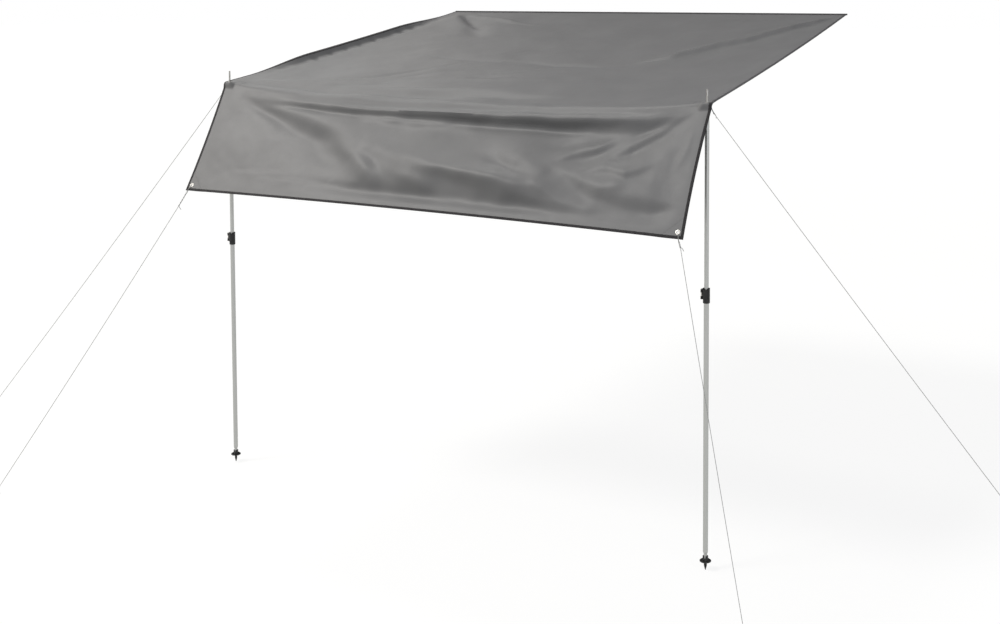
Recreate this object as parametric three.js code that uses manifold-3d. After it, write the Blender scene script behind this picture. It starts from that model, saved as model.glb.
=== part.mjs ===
// Caravan sun canopy. A coated polyester sheet slides into the caravan's awning rail by its keder
// edge, rests on the spikes of two telescopic poles and hangs over their line as a sloping front
// flap. Guy lines to pegs hold the ridge and the flap's lower corners out.
// Millimetres, +Z up, X along the rail, +Y towards the caravan. The origin is the middle of the keder.
import * as THREE from "three";
import { mergeVertices } from "three/addons/utils/BufferGeometryUtils.js";
import Module from "manifold-3d";

const wasm = await Module();
wasm.setup();

// Where the canopy stands
const railHeight = 2340;
const poleTopHeight = 2018;
const poleReach = 2195;
const footSplay = 50;
const footLead = 35;

// The sheet and the way it hangs
const canopyWidth = 2600;
const sheetThickness = 1.2;
const flapReach = 313;
const flapDrop = 510;
const eyeletInset = 27;
const roofEdgeSag = 12;
const roofMiddleSag = 18;
const ridgeSag = 55;
const ridgeSagPower = 4;
const hemRise = 10;
const sideHollow = 8;
const foldDepth = 20;
const foldWidth = 75;
const calmEdge = 90;
const ridgeRoll = 14;

// Binding, keder tape and reinforcing patches
const bindingWidth = 12;
const tapeWall = 0.8;
const kederBeadRadius = 3.5;
const kederTapeWall = 1;
const kederSetback = 16;
const patchLeg = 84;
const ridgePatchLength = 65;

// Clearances, and the overrun of every cut
const seatGap = 0.3;
const overrun = 2;

// Eyelets
const eyeletBore = 6;
const eyeletWall = 1;
const eyeletFlange = 10.5;
const eyeletPlate = 0.8;
const eyeletCurl = 8.4;

// Guy lines and pegs
const cordRadius = 1.2;
const knotRadius = 3.2;
const lineSag = 8;
const ridgeKnotOut = 32;
const ridgeKnotDrop = 38;
const leftCornerTie = 120;
const rightCornerTie = 60;
const pegTieLength = 26;
const pegRadius = 3;
const pegNeck = 26;
const pegDepth = 190;
const pegPoint = 14;
const pegRise = 10;
const pegHookRadius = 11;
const pegLean = 0.42;
const leftRidgePegOut = 3130;
const leftRidgePegFront = 2363;
const rightRidgePegOut = 3080;
const rightRidgePegFront = 2435;
const leftCornerPegOut = 2050;
const leftCornerPegFront = 3165;
const rightCornerPegOut = 1685;
const rightCornerPegFront = 2760;

// Pole tubes
const lowerTubeRadius = 11;
const upperTubeRadius = 9.5;
const tubeWall = 1;
const upperTubeOverlap = 120;
const swageRadius = 7.5;
const swageLength = 26;
const swageTaper = 15;
const bushFlange = 8;
const bushSpigot = 18;

// Pole top
const spikeRadius = 4;
const spikeReach = 60;
const spikeRound = 2.5;
const spikeSocket = 27;
const plugShoulder = 2.8;
const plugFlange = 8.5;
const plugSpigot = 30;

// Foot
const footSpikeLength = 40;
const footSpikeWidth = 14;
const footFinThickness = 3;
const footDiscRadius = 25;
const footDiscThickness = 4;
const footDiscRound = 0.8;
const footSocketRadius = 12;
const footSocketDepth = 20;
const footRibThickness = 1.8;
const footRibHeight = 9;
const footRibToe = 1.2;
const footNotchWidth = 9;
const footNotchDepth = 11;

// Clamp and its lever
const clampTopHeight = 1245;
const clampHeight = 64;
const clampWall = 3.5;
const clampSocket = 40;
const clampNeck = 14;
const clampCupWall = 2;
const clampRound = 2.2;
const clampLip = 0.7;
const clampScallop = 6;
const clampScallopRadius = 13;
const clampSlot = 2.4;
const slotBottom = 14;
const earBottom = 18;
const earTop = 60;
const earReach = 22.5;
const frontEar = 3.8;
const backEar = 5;
const pinOut = 17.5;
const pinRadius = 2;
const trunnionRadius = 3.4;
const screwRadius = 1.8;
const screwProud = 0.9;
const screwHeadRadius = 3.6;
const screwHead = 2.2;
const leverBarrel = 4.8;
const leverKnuckle = 13;
const leverGap = 0.5;
const leverPlate = 2.6;
const leverThumb = 2.2;
const leverCleared = 7.5;

// Counts
const roundSides = 20;
const smallSides = 12;
const cordSides = 8;
const footRibs = 8;

// Worked out from the sizes above
const roofDrop = railHeight - poleTopHeight;
const roofLength = Math.hypot(poleReach, roofDrop);
const flapLength = Math.hypot(flapReach, flapDrop);
const halfSheet = canopyWidth / 2 - tapeWall - seatGap;
const halfSpacing = canopyWidth / 2 - eyeletInset;
const sheetEnd = roofLength + flapLength;
const sheetStart = kederSetback + bindingWidth;
const halfThickness = sheetThickness / 2;
const tapeInner = halfThickness + seatGap;
const tapeOuter = tapeInner + tapeWall;
const eyeletBarrel = eyeletBore + eyeletWall;

const finishes = {
  fabric: { color: 0x8a8886, roughness: 0.6, metalness: 0 },
  patch: { color: 0x7f7d7b, roughness: 0.65, metalness: 0 },
  binding: { color: 0x2c2a2b, roughness: 0.8, metalness: 0 },
  tube: { color: 0xb0b1ae, roughness: 0.4, metalness: 0.9 },
  metal: { color: 0xcfd0cc, roughness: 0.3, metalness: 0.9 },
  plastic: { color: 0x2b2b2b, roughness: 0.55, metalness: 0 },
  cord: { color: 0xdcdcd6, roughness: 0.9, metalness: 0 },
};

const up = new THREE.Vector3(0, 0, 1);

// Closed bodies

function welded(geometry) {
  const bare = geometry.clone();
  bare.deleteAttribute("normal");
  bare.deleteAttribute("uv");
  const merged = mergeVertices(bare);
  const corners = merged.index.array;
  const kept = [];
  for (let i = 0; i < corners.length; i += 3) {
    const [a, b, c] = [corners[i], corners[i + 1], corners[i + 2]];
    if (a !== b && b !== c && c !== a) kept.push(a, b, c);
  }
  merged.setIndex(kept);
  return merged;
}

function signedVolume(geometry) {
  const places = geometry.getAttribute("position");
  const corners = geometry.index.array;
  const [a, b, c] = [new THREE.Vector3(), new THREE.Vector3(), new THREE.Vector3()];
  let volume = 0;
  for (let i = 0; i < corners.length; i += 3) {
    a.fromBufferAttribute(places, corners[i]);
    b.fromBufferAttribute(places, corners[i + 1]);
    c.fromBufferAttribute(places, corners[i + 2]);
    volume += a.dot(b.cross(c));
  }
  return volume;
}

// Welds a body's corners and turns its faces outwards
function closed(geometry) {
  const made = welded(geometry);
  if (signedVolume(made) < 0) {
    const corners = Array.from(made.index.array);
    for (let i = 0; i < corners.length; i += 3)
      [corners[i + 1], corners[i + 2]] = [corners[i + 2], corners[i + 1]];
    made.setIndex(corners);
  }
  return made;
}

function solid(geometry) {
  const made = closed(geometry);
  return new wasm.Manifold(
    new wasm.Mesh({
      numProp: 3,
      vertProperties: Float32Array.from(made.getAttribute("position").array),
      triVerts: Uint32Array.from(made.index.array),
    }),
  );
}

function geometryOf(manifold) {
  const made = manifold.getMesh();
  const geometry = new THREE.BufferGeometry();
  const places = Float32Array.from(made.vertProperties);
  geometry.setAttribute("position", new THREE.BufferAttribute(places, 3));
  geometry.setIndex(Array.from(made.triVerts));
  return geometry;
}

function joined(geometries) {
  return geometryOf(geometries.map(solid).reduce((sum, next) => sum.add(next)));
}

function cut(geometry, tools) {
  return geometryOf(tools.map(solid).reduce((left, next) => left.subtract(next), solid(geometry)));
}

// A profile of [radius, height] pairs turned about Z, from the axis and back to it
function turned(profile, sides = roundSides) {
  const points = profile.map(([radius, height]) => new THREE.Vector2(radius, height));
  return closed(new THREE.LatheGeometry(points, sides).rotateX(Math.PI / 2));
}

// The same for a ring, whose profile closes on itself
function ring(profile, sides = roundSides) {
  return turned([...profile, profile[0]], sides);
}

function rod(radius, from, to, sides = smallSides) {
  return turned([[0, from], [radius, from], [radius, to], [0, to]], sides);
}

// An outline of [x, y] pairs raised along Z
function raised(outline, from, to) {
  const shape = new THREE.Shape(outline.map(([x, y]) => new THREE.Vector2(x, y)));
  const made = new THREE.ExtrudeGeometry(shape, { depth: to - from, bevelEnabled: false });
  return closed(made.translate(0, 0, from));
}

function block([x0, x1], [y0, y1], [z0, z1]) {
  return raised([[x0, y0], [x1, y0], [x1, y1], [x0, y1]], z0, z1);
}

// Turns a body built along Z to lie along Y
function alongY(geometry) {
  return geometry.clone().rotateX(-Math.PI / 2);
}

function placed(geometry, origin, direction) {
  const turn = new THREE.Quaternion().setFromUnitVectors(up, direction);
  const matrix = new THREE.Matrix4().makeRotationFromQuaternion(turn);
  return geometry.clone().applyMatrix4(matrix.setPosition(origin));
}

// A smooth route whose steps are shared out evenly between its points
class Route extends THREE.CatmullRomCurve3 {
  getPointAt(share, target) {
    return this.getPoint(share, target);
  }
  getTangentAt(share, target) {
    return this.getTangent(share, target);
  }
}

function tube(points, radius, stepsPerPoint) {
  const outline = [];
  for (let i = 0; i < cordSides; i++) {
    const turn = ((i + 0.5) / cordSides) * Math.PI * 2;
    outline.push(new THREE.Vector2(radius * Math.cos(turn), radius * Math.sin(turn)));
  }
  const steps = (points.length - 1) * stepsPerPoint;
  const settings = { extrudePath: new Route(points), steps, bevelEnabled: false };
  return closed(new THREE.ExtrudeGeometry(new THREE.Shape(outline), settings));
}

const canopy = new THREE.Group();

function addPiece(name, geometry, finish, parent = canopy) {
  const material = new THREE.MeshStandardMaterial(finishes[finish]);
  const made = new THREE.Mesh(closed(geometry), material);
  made.geometry.computeVertexNormals();
  made.name = name;
  parent.add(made);
  return made;
}

// The hanging sheet

function eased(share) {
  const x = Math.min(Math.max(share, 0), 1);
  return x * x * (3 - 2 * x);
}

// Each fold runs between two places given as shares: across from pole to pole, -1 to 1, and down the
// roof or the flap, 0 to 1. Its width and height are shares of the fold width and the fold depth.
const roofFoldShares = [
  { from: [-0.97, 0.985], to: [0.25, 0.67], width: 0.8, height: -0.55 },
  { from: [-0.9, 0.975], to: [0.35, 0.84], width: 0.95, height: 0.5 },
  { from: [-0.8, 0.96], to: [0.6, 0.955], width: 0.75, height: -0.45 },
  { from: [0.97, 0.06], to: [0.45, 0.63], width: 1, height: 0.95 },
  { from: [-0.95, 0.03], to: [-0.5, 0.36], width: 0.9, height: -0.75 },
  { from: [-0.72, 0.57], to: [0.5, 0.64], width: 0.6, height: -0.25 },
];
const flapFoldShares = [
  { from: [-0.5, 0.07], to: [0.98, 0.07], width: 0.5, height: 0.85 },
  { from: [-0.94, 0.06], to: [0.75, 0.18], width: 0.55, height: -0.8 },
  { from: [-0.95, 0.1], to: [-0.3, 0.5], width: 0.8, height: -0.95 },
  { from: [-0.38, 0.42], to: [0.22, 0.85], width: 0.9, height: -1 },
  { from: [0.97, 0.1], to: [0.42, 0.4], width: 0.7, height: -0.7 },
  { from: [0.16, 0.45], to: [0.8, 0.82], width: 0.95, height: -0.75 },
  { from: [-0.1, 0.62], to: [0.66, 0.72], width: 0.7, height: 0.45 },
];
const foldStartShare = 0.18;
const foldEndShare = 0.3;
const foldNarrowShare = 0.45;

function foldHeight(across, down) {
  const folds = [
    ...roofFoldShares.map((fold) => [fold, 0, roofLength]),
    ...flapFoldShares.map((fold) => [fold, roofLength, flapLength]),
  ];
  let height = 0;
  for (const [fold, start, length] of folds) {
    const [x0, y0] = [fold.from[0] * halfSpacing, start + fold.from[1] * length];
    const [dx, dy] = [fold.to[0] * halfSpacing - x0, start + fold.to[1] * length - y0];
    const span = Math.hypot(dx, dy);
    const along = ((across - x0) * dx + (down - y0) * dy) / (span * span);
    const aside = ((across - x0) * dy - (down - y0) * dx) / span;
    const broad = foldNarrowShare + (1 - foldNarrowShare) * eased(along);
    const fade = eased(along / foldStartShare) * eased((1 - along) / foldEndShare);
    const spread = fold.width * foldWidth * broad;
    height += fold.height * foldDepth * fade * Math.exp(-((aside / spread) ** 2));
  }
  const fromSide = halfSheet - Math.abs(across) - eyeletInset;
  const fromHem = sheetEnd - down - eyeletInset;
  const fromRail = down - sheetStart;
  return height * eased(Math.min(fromSide, fromHem, fromRail) / calmEdge);
}

// A place on the sheet's middle surface, measured across from the middle and down from the keder along
// the roof and then the flap
function hung(across, down) {
  const side = Math.min(Math.abs(across) / halfSpacing, 1);
  const middle = 1 - side * side;
  const onRoof = Math.min(down / roofLength, 1);
  const onFlap = Math.max((down - roofLength) / flapLength, 0);
  const slack = Math.min(Math.max((down - sheetStart) / (roofLength - sheetStart), 0), 1);
  const roofBow = 4 * slack * (1 - slack);
  const flapBow = 4 * Math.min(onFlap, 1) * (1 - Math.min(onFlap, 1));
  const sag = ridgeSag * (1 - side ** ridgeSagPower) * slack * slack * (1 - onFlap);
  const lean = eased((down - roofLength + foldWidth / 2) / foldWidth);
  const flapOut = new THREE.Vector3(0, -flapDrop, flapReach).normalize();
  const faceOut = up.clone().lerp(flapOut, lean).normalize();
  return new THREE.Vector3(
    across - (across / halfSheet) * sideHollow * flapBow,
    -poleReach * onRoof - flapReach * onFlap,
    -roofDrop * onRoof - flapDrop * onFlap - (roofEdgeSag + roofMiddleSag * middle) * roofBow - sag,
  )
    .add(new THREE.Vector3(0, 0, hemRise * onFlap * middle))
    .addScaledVector(faceOut, foldHeight(across, down));
}

// Eyelets over the poles lie level; those in the flap's corners lie in its slope
function eyeletAt(side, down, flatDown, fadeDown, level) {
  const across = side * halfSpacing;
  const centre = hung(across, down);
  const alongWidth = new THREE.Vector3(1, 0, 0);
  const alongDown = level
    ? new THREE.Vector3(0, -1, 0)
    : centre.clone().sub(hung(across, down - eyeletInset)).normalize();
  const axis = alongDown.clone().cross(alongWidth).normalize();
  return { side, across, down, centre, alongWidth, alongDown, axis, flatDown, fadeDown };
}

const patchFold = bindingWidth + patchLeg / 2;
const patchEdge = bindingWidth + patchLeg;
const eyeletFlat = eyeletInset + tapeWall + seatGap;
const ridgeFade = ridgePatchLength - ridgeRoll * 2;
const ridgeEyelets = [-1, 1].map((side) => eyeletAt(side, roofLength, ridgeRoll, ridgeFade, true));
const cornerDown = sheetEnd - eyeletInset;
const cornerEyelets = [-1, 1].map((side) => eyeletAt(side, cornerDown, eyeletFlat, calmEdge, false));
const allEyelets = [...ridgeEyelets, ...cornerEyelets];

function sheetPlace(across, down) {
  const place = hung(across, down);
  for (const eyelet of allEyelets) {
    const [dx, dy] = [across - eyelet.across, down - eyelet.down];
    const holdAcross = 1 - eased((Math.abs(dx) - eyeletFlat) / calmEdge);
    const holdDown = 1 - eased((Math.abs(dy) - eyelet.flatDown) / eyelet.fadeDown);
    const flat = eyelet.centre.clone().addScaledVector(eyelet.alongWidth, dx);
    place.lerp(flat.addScaledVector(eyelet.alongDown, dy), holdAcross * holdDown);
  }
  return place;
}

// Lines of the sheet's grid, close together at the bindings, the patches and the ridge
const acrossShares = [0.86, 0.74, 0.6, 0.45, 0.3, 0.15];
const roofDownShares = [0.1, 0.2, 0.3, 0.39, 0.48, 0.57, 0.66, 0.75, 0.83, 0.91];
const rollShares = [1 / 3, 0.8];
const flapDownShares = [0.19, 0.3, 0.42, 0.54, 0.66, 0.75];
const edgeLines = [0, bindingWidth, patchFold, patchEdge];
const innerLines = acrossShares.map((share) => share * halfSheet);
const halfLines = [...edgeLines.map((inset) => halfSheet - inset), ...innerLines];
const acrossLines = [...halfLines.map((across) => -across), 0, ...halfLines.slice().reverse()];
const roofLines = [kederSetback, sheetStart, ...roofDownShares.map((share) => share * roofLength)];
const patchTop = roofLength + ridgeRoll - ridgePatchLength;
const ridgeLines = [patchTop, roofLength - ridgeRoll, roofLength + ridgeRoll];
const rollLines = rollShares.map((share) => roofLength + ridgeRoll + share * foldWidth);
const flapLines = flapDownShares.map((share) => roofLength + share * flapLength);
const hemLines = edgeLines.map((inset) => sheetEnd - inset).reverse();
const downLines = [...roofLines, ...ridgeLines, ...rollLines, ...flapLines, ...hemLines];
const columns = acrossLines.length - 1;
const rows = downLines.length - 1;
const patchRow = roofLines.length;

const grid = downLines.map((down) => acrossLines.map((across) => sheetPlace(across, down)));
const normals = grid.map((row, j) =>
  row.map((place, i) => {
    const downwards = grid[Math.min(j + 1, rows)][i].clone().sub(grid[Math.max(j - 1, 0)][i]);
    const rightwards = row[Math.min(i + 1, columns)].clone().sub(row[Math.max(i - 1, 0)]);
    return downwards.cross(rightwards).normalize();
  }),
);

// A place on the faceted sheet at a column and a row that may be parted, and a height off its middle
function onSheet(column, row, height) {
  const i = Math.min(Math.max(Math.floor(column), 0), columns - 1);
  const j = Math.min(Math.max(Math.floor(row), 0), rows - 1);
  const mixed = (table) => {
    const above = table[j][i].clone().lerp(table[j][i + 1], column - i);
    return above.lerp(table[j + 1][i].clone().lerp(table[j + 1][i + 1], column - i), row - j);
  };
  return mixed(grid).addScaledVector(mixed(normals).normalize(), height);
}

// A skin between two heights over the triangles of the cells that are kept. The corners of each cell
// are split towards the nearer lower corner of the flap; a slant keeps only the half towards it.
function skin(low, high, kept, shifted = (column, row) => [column, row]) {
  const triangles = [];
  for (let j = 0; j < rows; j++)
    for (let i = 0; i < columns; i++) {
      const [a, b, c, d] = [[i, j], [i + 1, j], [i + 1, j + 1], [i, j + 1]];
      const left = i < columns / 2;
      const answer = kept(i, j);
      if (answer) triangles.push(left ? [a, d, c] : [b, d, c]);
      if (answer === "whole") triangles.push(left ? [a, c, b] : [a, d, b]);
    }
  const edges = new Map();
  for (const [p, q, r] of triangles)
    for (const [from, to] of [[p, q], [q, r], [r, p]])
      if (!edges.delete(`${to} ${from}`)) edges.set(`${from} ${to}`, [from, to]);
  const places = [];
  const face = (...corners) => {
    for (const [corner, height] of corners) places.push(...onSheet(...shifted(...corner), height).toArray());
  };
  for (const [p, q, r] of triangles) {
    face([p, high], [q, high], [r, high]);
    face([p, low], [r, low], [q, low]);
  }
  for (const [from, to] of edges.values()) {
    face([from, high], [from, low], [to, high]);
    face([to, high], [from, low], [to, low]);
  }
  const geometry = new THREE.BufferGeometry();
  geometry.setAttribute("position", new THREE.Float32BufferAttribute(places, 3));
  return geometry;
}

function eyeletHole(eyelet) {
  const reach = tapeOuter + overrun;
  return placed(rod(eyeletBarrel + seatGap, -reach, reach), eyelet.centre, eyelet.axis);
}

const wholeSheet = skin(-halfThickness, halfThickness, () => "whole");
addPiece("canopy_sheet", cut(wholeSheet, allEyelets.map(eyeletHole)), "fabric");

// Patches: a triangle sewn on the face of each flap corner, a square under each ridge eyelet
const tuckShare = seatGap / (patchFold - bindingWidth);

function tucked(column, row) {
  if (column === 1) column += tuckShare;
  if (column === columns - 1) column -= tuckShare;
  if (row === rows - 1) row -= tuckShare;
  return [column, row];
}

for (const [k, side] of ["left", "right"].entries()) {
  const step = (i) => (k === 0 ? i : columns - 1 - i);
  const cornerKept = (i, j) => {
    if (step(i) === 1 && j === rows - 2) return "whole";
    return (step(i) === 2 && j === rows - 2) || (step(i) === 1 && j === rows - 3) ? "half" : "";
  };
  const ridgeKept = (i, j) => {
    const inside = (step(i) === 1 || step(i) === 2) && (j === patchRow || j === patchRow + 1);
    return inside ? "whole" : "";
  };
  const cornerPatch = skin(tapeInner, tapeOuter, cornerKept, tucked);
  const ridgePatch = skin(-tapeOuter, -tapeInner, ridgeKept, tucked);
  addPiece(`corner_patch_${side}`, cut(cornerPatch, [eyeletHole(cornerEyelets[k])]), "patch");
  addPiece(`ridge_patch_${side}`, cut(ridgePatch, [eyeletHole(ridgeEyelets[k])]), "patch");
}

// Bindings: a folded tape round three edges. The section is [distance in from the edge, height].
const webOut = -(tapeWall + seatGap);
const bindingSection = [
  [webOut, -tapeOuter],
  [bindingWidth, -tapeOuter],
  [bindingWidth, -tapeInner],
  [-seatGap, -tapeInner],
  [-seatGap, tapeInner],
  [bindingWidth, tapeInner],
  [bindingWidth, tapeOuter],
  [webOut, tapeOuter],
];

// Sweeps the section over stations; each station tells whether its faces split from its edge inwards
function binding(stations) {
  const rings = stations.map(({ at }) => bindingSection.map(([inset, height]) => at(inset, height)));
  const places = [];
  const face = (...corners) => corners.forEach((corner) => places.push(...corner.toArray()));
  for (let s = 0; s < stations.length - 1; s++)
    bindingSection.forEach(([inset], k) => {
      const next = (k + 1) % bindingSection.length;
      const [a, b, c, d] = [rings[s][k], rings[s][next], rings[s + 1][next], rings[s + 1][k]];
      const fromEdge = inset < bindingSection[next][0] === stations[s].edgeInwards;
      if (fromEdge) face(a, b, c, a, c, d);
      else face(a, b, d, b, c, d);
    });
  const flat = bindingSection.map(([x, y]) => new THREE.Vector2(x, y));
  for (const [a, b, c] of THREE.ShapeUtils.triangulateShape(flat, [])) {
    const [first, last] = [rings[0], rings[rings.length - 1]];
    face(first[a], first[c], first[b], last[a], last[b], last[c]);
  }
  const geometry = new THREE.BufferGeometry();
  geometry.setAttribute("position", new THREE.Float32BufferAttribute(places, 3));
  return geometry;
}

const firstRow = 1 + seatGap / (downLines[2] - downLines[1]);
const lastRow = rows - webOut / bindingWidth;
const sideRows = [firstRow, ...downLines.keys()].filter((row) => row >= firstRow).concat(lastRow);
for (const [k, side] of ["left", "right"].entries()) {
  const column = (inset) => (k === 0 ? inset / bindingWidth : columns - inset / bindingWidth);
  const stations = sideRows.map((row) => ({
    at: (inset, height) => onSheet(column(inset), row, height),
    edgeInwards: true,
  }));
  addPiece(`side_binding_${side}`, binding(stations), "binding");
}
const frontColumns = [...acrossLines.keys()].slice(1, -1).map((column) => tucked(column, 0)[0]);
const frontStations = frontColumns.map((column) => ({
  at: (inset, height) => onSheet(column, rows - inset / bindingWidth, height),
  edgeInwards: column >= columns / 2,
}));
addPiece("front_binding", binding(frontStations), "binding");

// Keder: a round bead in a folded tape, whose flag is sewn to both faces of the sheet
const beadInner = kederBeadRadius + seatGap;
const beadOuter = beadInner + kederTapeWall;
const outerTurn = Math.asin(tapeOuter / beadOuter);
const innerTurn = Math.asin(tapeInner / beadInner);
const kederOutline = [[sheetStart, tapeOuter]];
for (let i = 0; i <= smallSides; i++) {
  const turn = outerTurn + ((Math.PI - outerTurn) * 2 * i) / smallSides;
  kederOutline.push([beadOuter * Math.cos(turn), beadOuter * Math.sin(turn)]);
}
kederOutline.push([sheetStart, -tapeOuter], [sheetStart, -tapeInner]);
for (let i = smallSides; i >= 0; i--) {
  const turn = innerTurn + ((Math.PI - innerTurn) * 2 * i) / smallSides;
  kederOutline.push([beadInner * Math.cos(turn), beadInner * Math.sin(turn)]);
}
kederOutline.push([sheetStart, tapeInner]);
const roofSlope = Math.atan2(roofDrop, poleReach);
const kederFrame = new THREE.Matrix4().makeBasis(
  new THREE.Vector3(0, -Math.cos(roofSlope), -Math.sin(roofSlope)),
  new THREE.Vector3(0, -Math.sin(roofSlope), Math.cos(roofSlope)),
  new THREE.Vector3(-1, 0, 0),
);
const halfWidth = canopyWidth / 2;
addPiece("keder_tape", raised(kederOutline, -halfWidth, halfWidth).applyMatrix4(kederFrame), "binding");
addPiece("keder_bead", rod(kederBeadRadius, -halfWidth, halfWidth).applyMatrix4(kederFrame), "plastic");

// Eyelets: a flanged barrel set from one face, a washer on the other and the barrel's end curled over it
function eyeletBody(seat, washerSeat) {
  const curlTop = washerSeat - eyeletPlate - seatGap;
  return ring(
    [
      [eyeletBore, seat + eyeletPlate],
      [eyeletFlange, seat + eyeletPlate],
      [eyeletFlange, seat],
      [eyeletBarrel, seat],
      [eyeletBarrel, curlTop],
      [eyeletCurl, curlTop],
      [eyeletCurl, curlTop - eyeletPlate],
      [eyeletBore, curlTop - eyeletPlate],
    ],
    smallSides,
  );
}

function washerBody(seat) {
  const bore = eyeletBarrel + seatGap;
  return ring(
    [[bore, seat], [eyeletFlange, seat], [eyeletFlange, seat - eyeletPlate], [bore, seat - eyeletPlate]],
    smallSides,
  );
}

const ridgeWasherSeat = -tapeOuter - seatGap;
const cornerWasherSeat = -tapeInner;
for (const [k, side] of ["left", "right"].entries()) {
  const [ridge, corner] = [ridgeEyelets[k], cornerEyelets[k]];
  const ridgeBody = eyeletBody(tapeInner, ridgeWasherSeat);
  const cornerBody = eyeletBody(tapeOuter + seatGap, cornerWasherSeat);
  addPiece(`ridge_eyelet_${side}`, placed(ridgeBody, ridge.centre, ridge.axis), "metal");
  addPiece(`ridge_washer_${side}`, placed(washerBody(ridgeWasherSeat), ridge.centre, ridge.axis), "metal");
  addPiece(`corner_eyelet_${side}`, placed(cornerBody, corner.centre, corner.axis), "metal");
  addPiece(`corner_washer_${side}`, placed(washerBody(cornerWasherSeat), corner.centre, corner.axis), "metal");
}

// Where each pole stands: its top is the loop of guy line that lies between the pole and the eyelet
const loopDrop = -(ridgeWasherSeat - eyeletPlate * 2 - seatGap) + seatGap + cordRadius;
const poles = ridgeEyelets.map(({ side, centre }) => {
  const top = centre.clone().addScaledVector(up, -loopDrop);
  const tip = new THREE.Vector3(centre.x + side * footSplay, centre.y - footLead, -railHeight);
  const direction = top.clone().sub(tip);
  return { side, top, tip, length: direction.length(), direction: direction.normalize() };
});

// Guy lines

// Route points of the cords, chosen by hand: out towards the knot, aside and up
const ridgeLoopRoute = [
  [24, 1.6, -25], [17.5, 1.9, -9.5], [12.6, 2.7, -2.4], [6.4, 4.7, -0.2], [0, 6, 0], [-4.3, 4.3, 0],
  [-6, 0, 0], [-4.3, -4.3, 0], [0, -6, 0], [6.4, -4.7, -0.2], [12.6, -2.7, -2.4], [17.5, -1.9, -9.5],
  [24, -1.6, -25],
];
const cornerLoopRoute = [
  [44, 1.4, 1.6], [31, 1.6, 3.3], [17, 1.7, 4.3], [10, 1.6, 5], [4.4, 1.2, 4.3], [2, 0, 0],
  [4.4, -1.2, -4.3], [10, -1.6, -4.6], [17, -1.7, -3.9], [31, -1.6, -3.3], [44, -1.4, -3.9],
];
const pegLoopRoute = [
  [9, 2.6, 4], [4, 4.3, 0.8], [-0.6, 5, 0], [-3.9, 3.1, 0], [-5, 0, 0],
  [-3.9, -3.1, 0], [-0.6, -5, 0], [4, -4.3, 0.8], [9, -2.6, 4],
];
const strandAside = 1.3;
const tailRoute = [[0, 0, 0], [1.5, 4, -3], [5, 6.5, -9], [7, 6, -17]];

function located(origin, axes, points) {
  return points.map(([x, y, z]) =>
    origin.clone().addScaledVector(axes[0], x).addScaledVector(axes[1], y).addScaledVector(axes[2], z),
  );
}

// Places along a guy line, and the peg's hook in shares of half a turn
const lineShares = [0, 0.25, 0.5, 0.75, 1];
const hookTurnShares = [1, 0.8, 0.6, 0.4, 0.2, 0, -0.15];

// A loop tied in the end of a guy line, with its knot and its free tail
function tied(origin, axes, route, knot) {
  const ends = [1, -1].map((sign) => knot.clone().addScaledVector(axes[1], sign * strandAside));
  const loop = tube([ends[0], ...located(origin, axes, route), ends[1]], cordRadius, 1);
  const bead = new THREE.SphereGeometry(knotRadius, cordSides, cordSides - 2);
  const tail = tube(located(knot, axes, tailRoute), cordRadius, 1);
  return joined([loop, bead.translate(knot.x, knot.y, knot.z), tail]);
}

// A bent wire peg, driven in so that it leans away from the pull
function pegBody() {
  const shaftProfile = [[0, -pegDepth], [pegRadius, pegPoint - pegDepth], [pegRadius, pegRise], [0, pegRise]];
  const hook = [new THREE.Vector3(0, 0, pegRise - overrun)];
  for (const share of hookTurnShares) {
    const turn = Math.PI * share;
    const rise = pegHookRadius * Math.sin(turn);
    hook.push(new THREE.Vector3(pegHookRadius * (1 + Math.cos(turn)), 0, pegRise + rise));
  }
  return joined([turned(shaftProfile, cordSides), tube(hook, pegRadius, 1)]);
}

// One guy line from its loop on the canopy to its peg
function addGuyLine(name, start, loopOf, pegOut, pegFront) {
  const ground = new THREE.Vector3(pegOut, -pegFront, -railHeight);
  const pull = ground.clone().sub(start).normalize();
  const { knot, axes, route } = loopOf(pull);
  addPiece(`${name}_guy_tie`, tied(start, axes, route, knot), "cord");

  const neck = ground.clone().addScaledVector(pull, pegNeck / pull.z);
  const rise = knot.clone().sub(neck).normalize();
  const away = new THREE.Vector3(-rise.x, -rise.y, 0).normalize();
  const pegAxis = up.clone().multiplyScalar(Math.cos(pegLean)).addScaledVector(away, Math.sin(pegLean));
  const pegAside = pegAxis.clone().cross(away).normalize();
  const pegFrame = new THREE.Matrix4().makeBasis(pegAside.clone().cross(pegAxis), pegAside, pegAxis);
  addPiece(`${name}_peg`, pegBody().applyMatrix4(pegFrame.setPosition(neck)), "metal");

  const lowerKnot = neck.clone().addScaledVector(rise, pegTieLength);
  const tieAxes = [pegAxis.clone().cross(pegAside), pegAside.clone().negate(), pegAxis];
  addPiece(`${name}_peg_tie`, tied(neck, tieAxes, pegLoopRoute, lowerKnot), "cord");

  const from = knot.clone().addScaledVector(rise, -(knotRadius + seatGap));
  const to = lowerKnot.clone().addScaledVector(rise, knotRadius + seatGap);
  const points = [];
  for (const share of lineShares) {
    const sag = lineSag * 4 * share * (1 - share);
    points.push(from.clone().lerp(to, share).addScaledVector(up, -sag));
  }
  addPiece(`${name}_guy_line`, tube(points, cordRadius, 3), "cord");
}

// The ridge lines loop round the poles' spikes, below the eyelets
function ridgeLoop(top) {
  return (pull) => {
    const out = new THREE.Vector3(pull.x, pull.y, 0).normalize();
    const knot = top.clone().addScaledVector(out, ridgeKnotOut).addScaledVector(up, -ridgeKnotDrop);
    return { knot, axes: [out, up.clone().cross(out), up], route: ridgeLoopRoute };
  };
}

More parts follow.
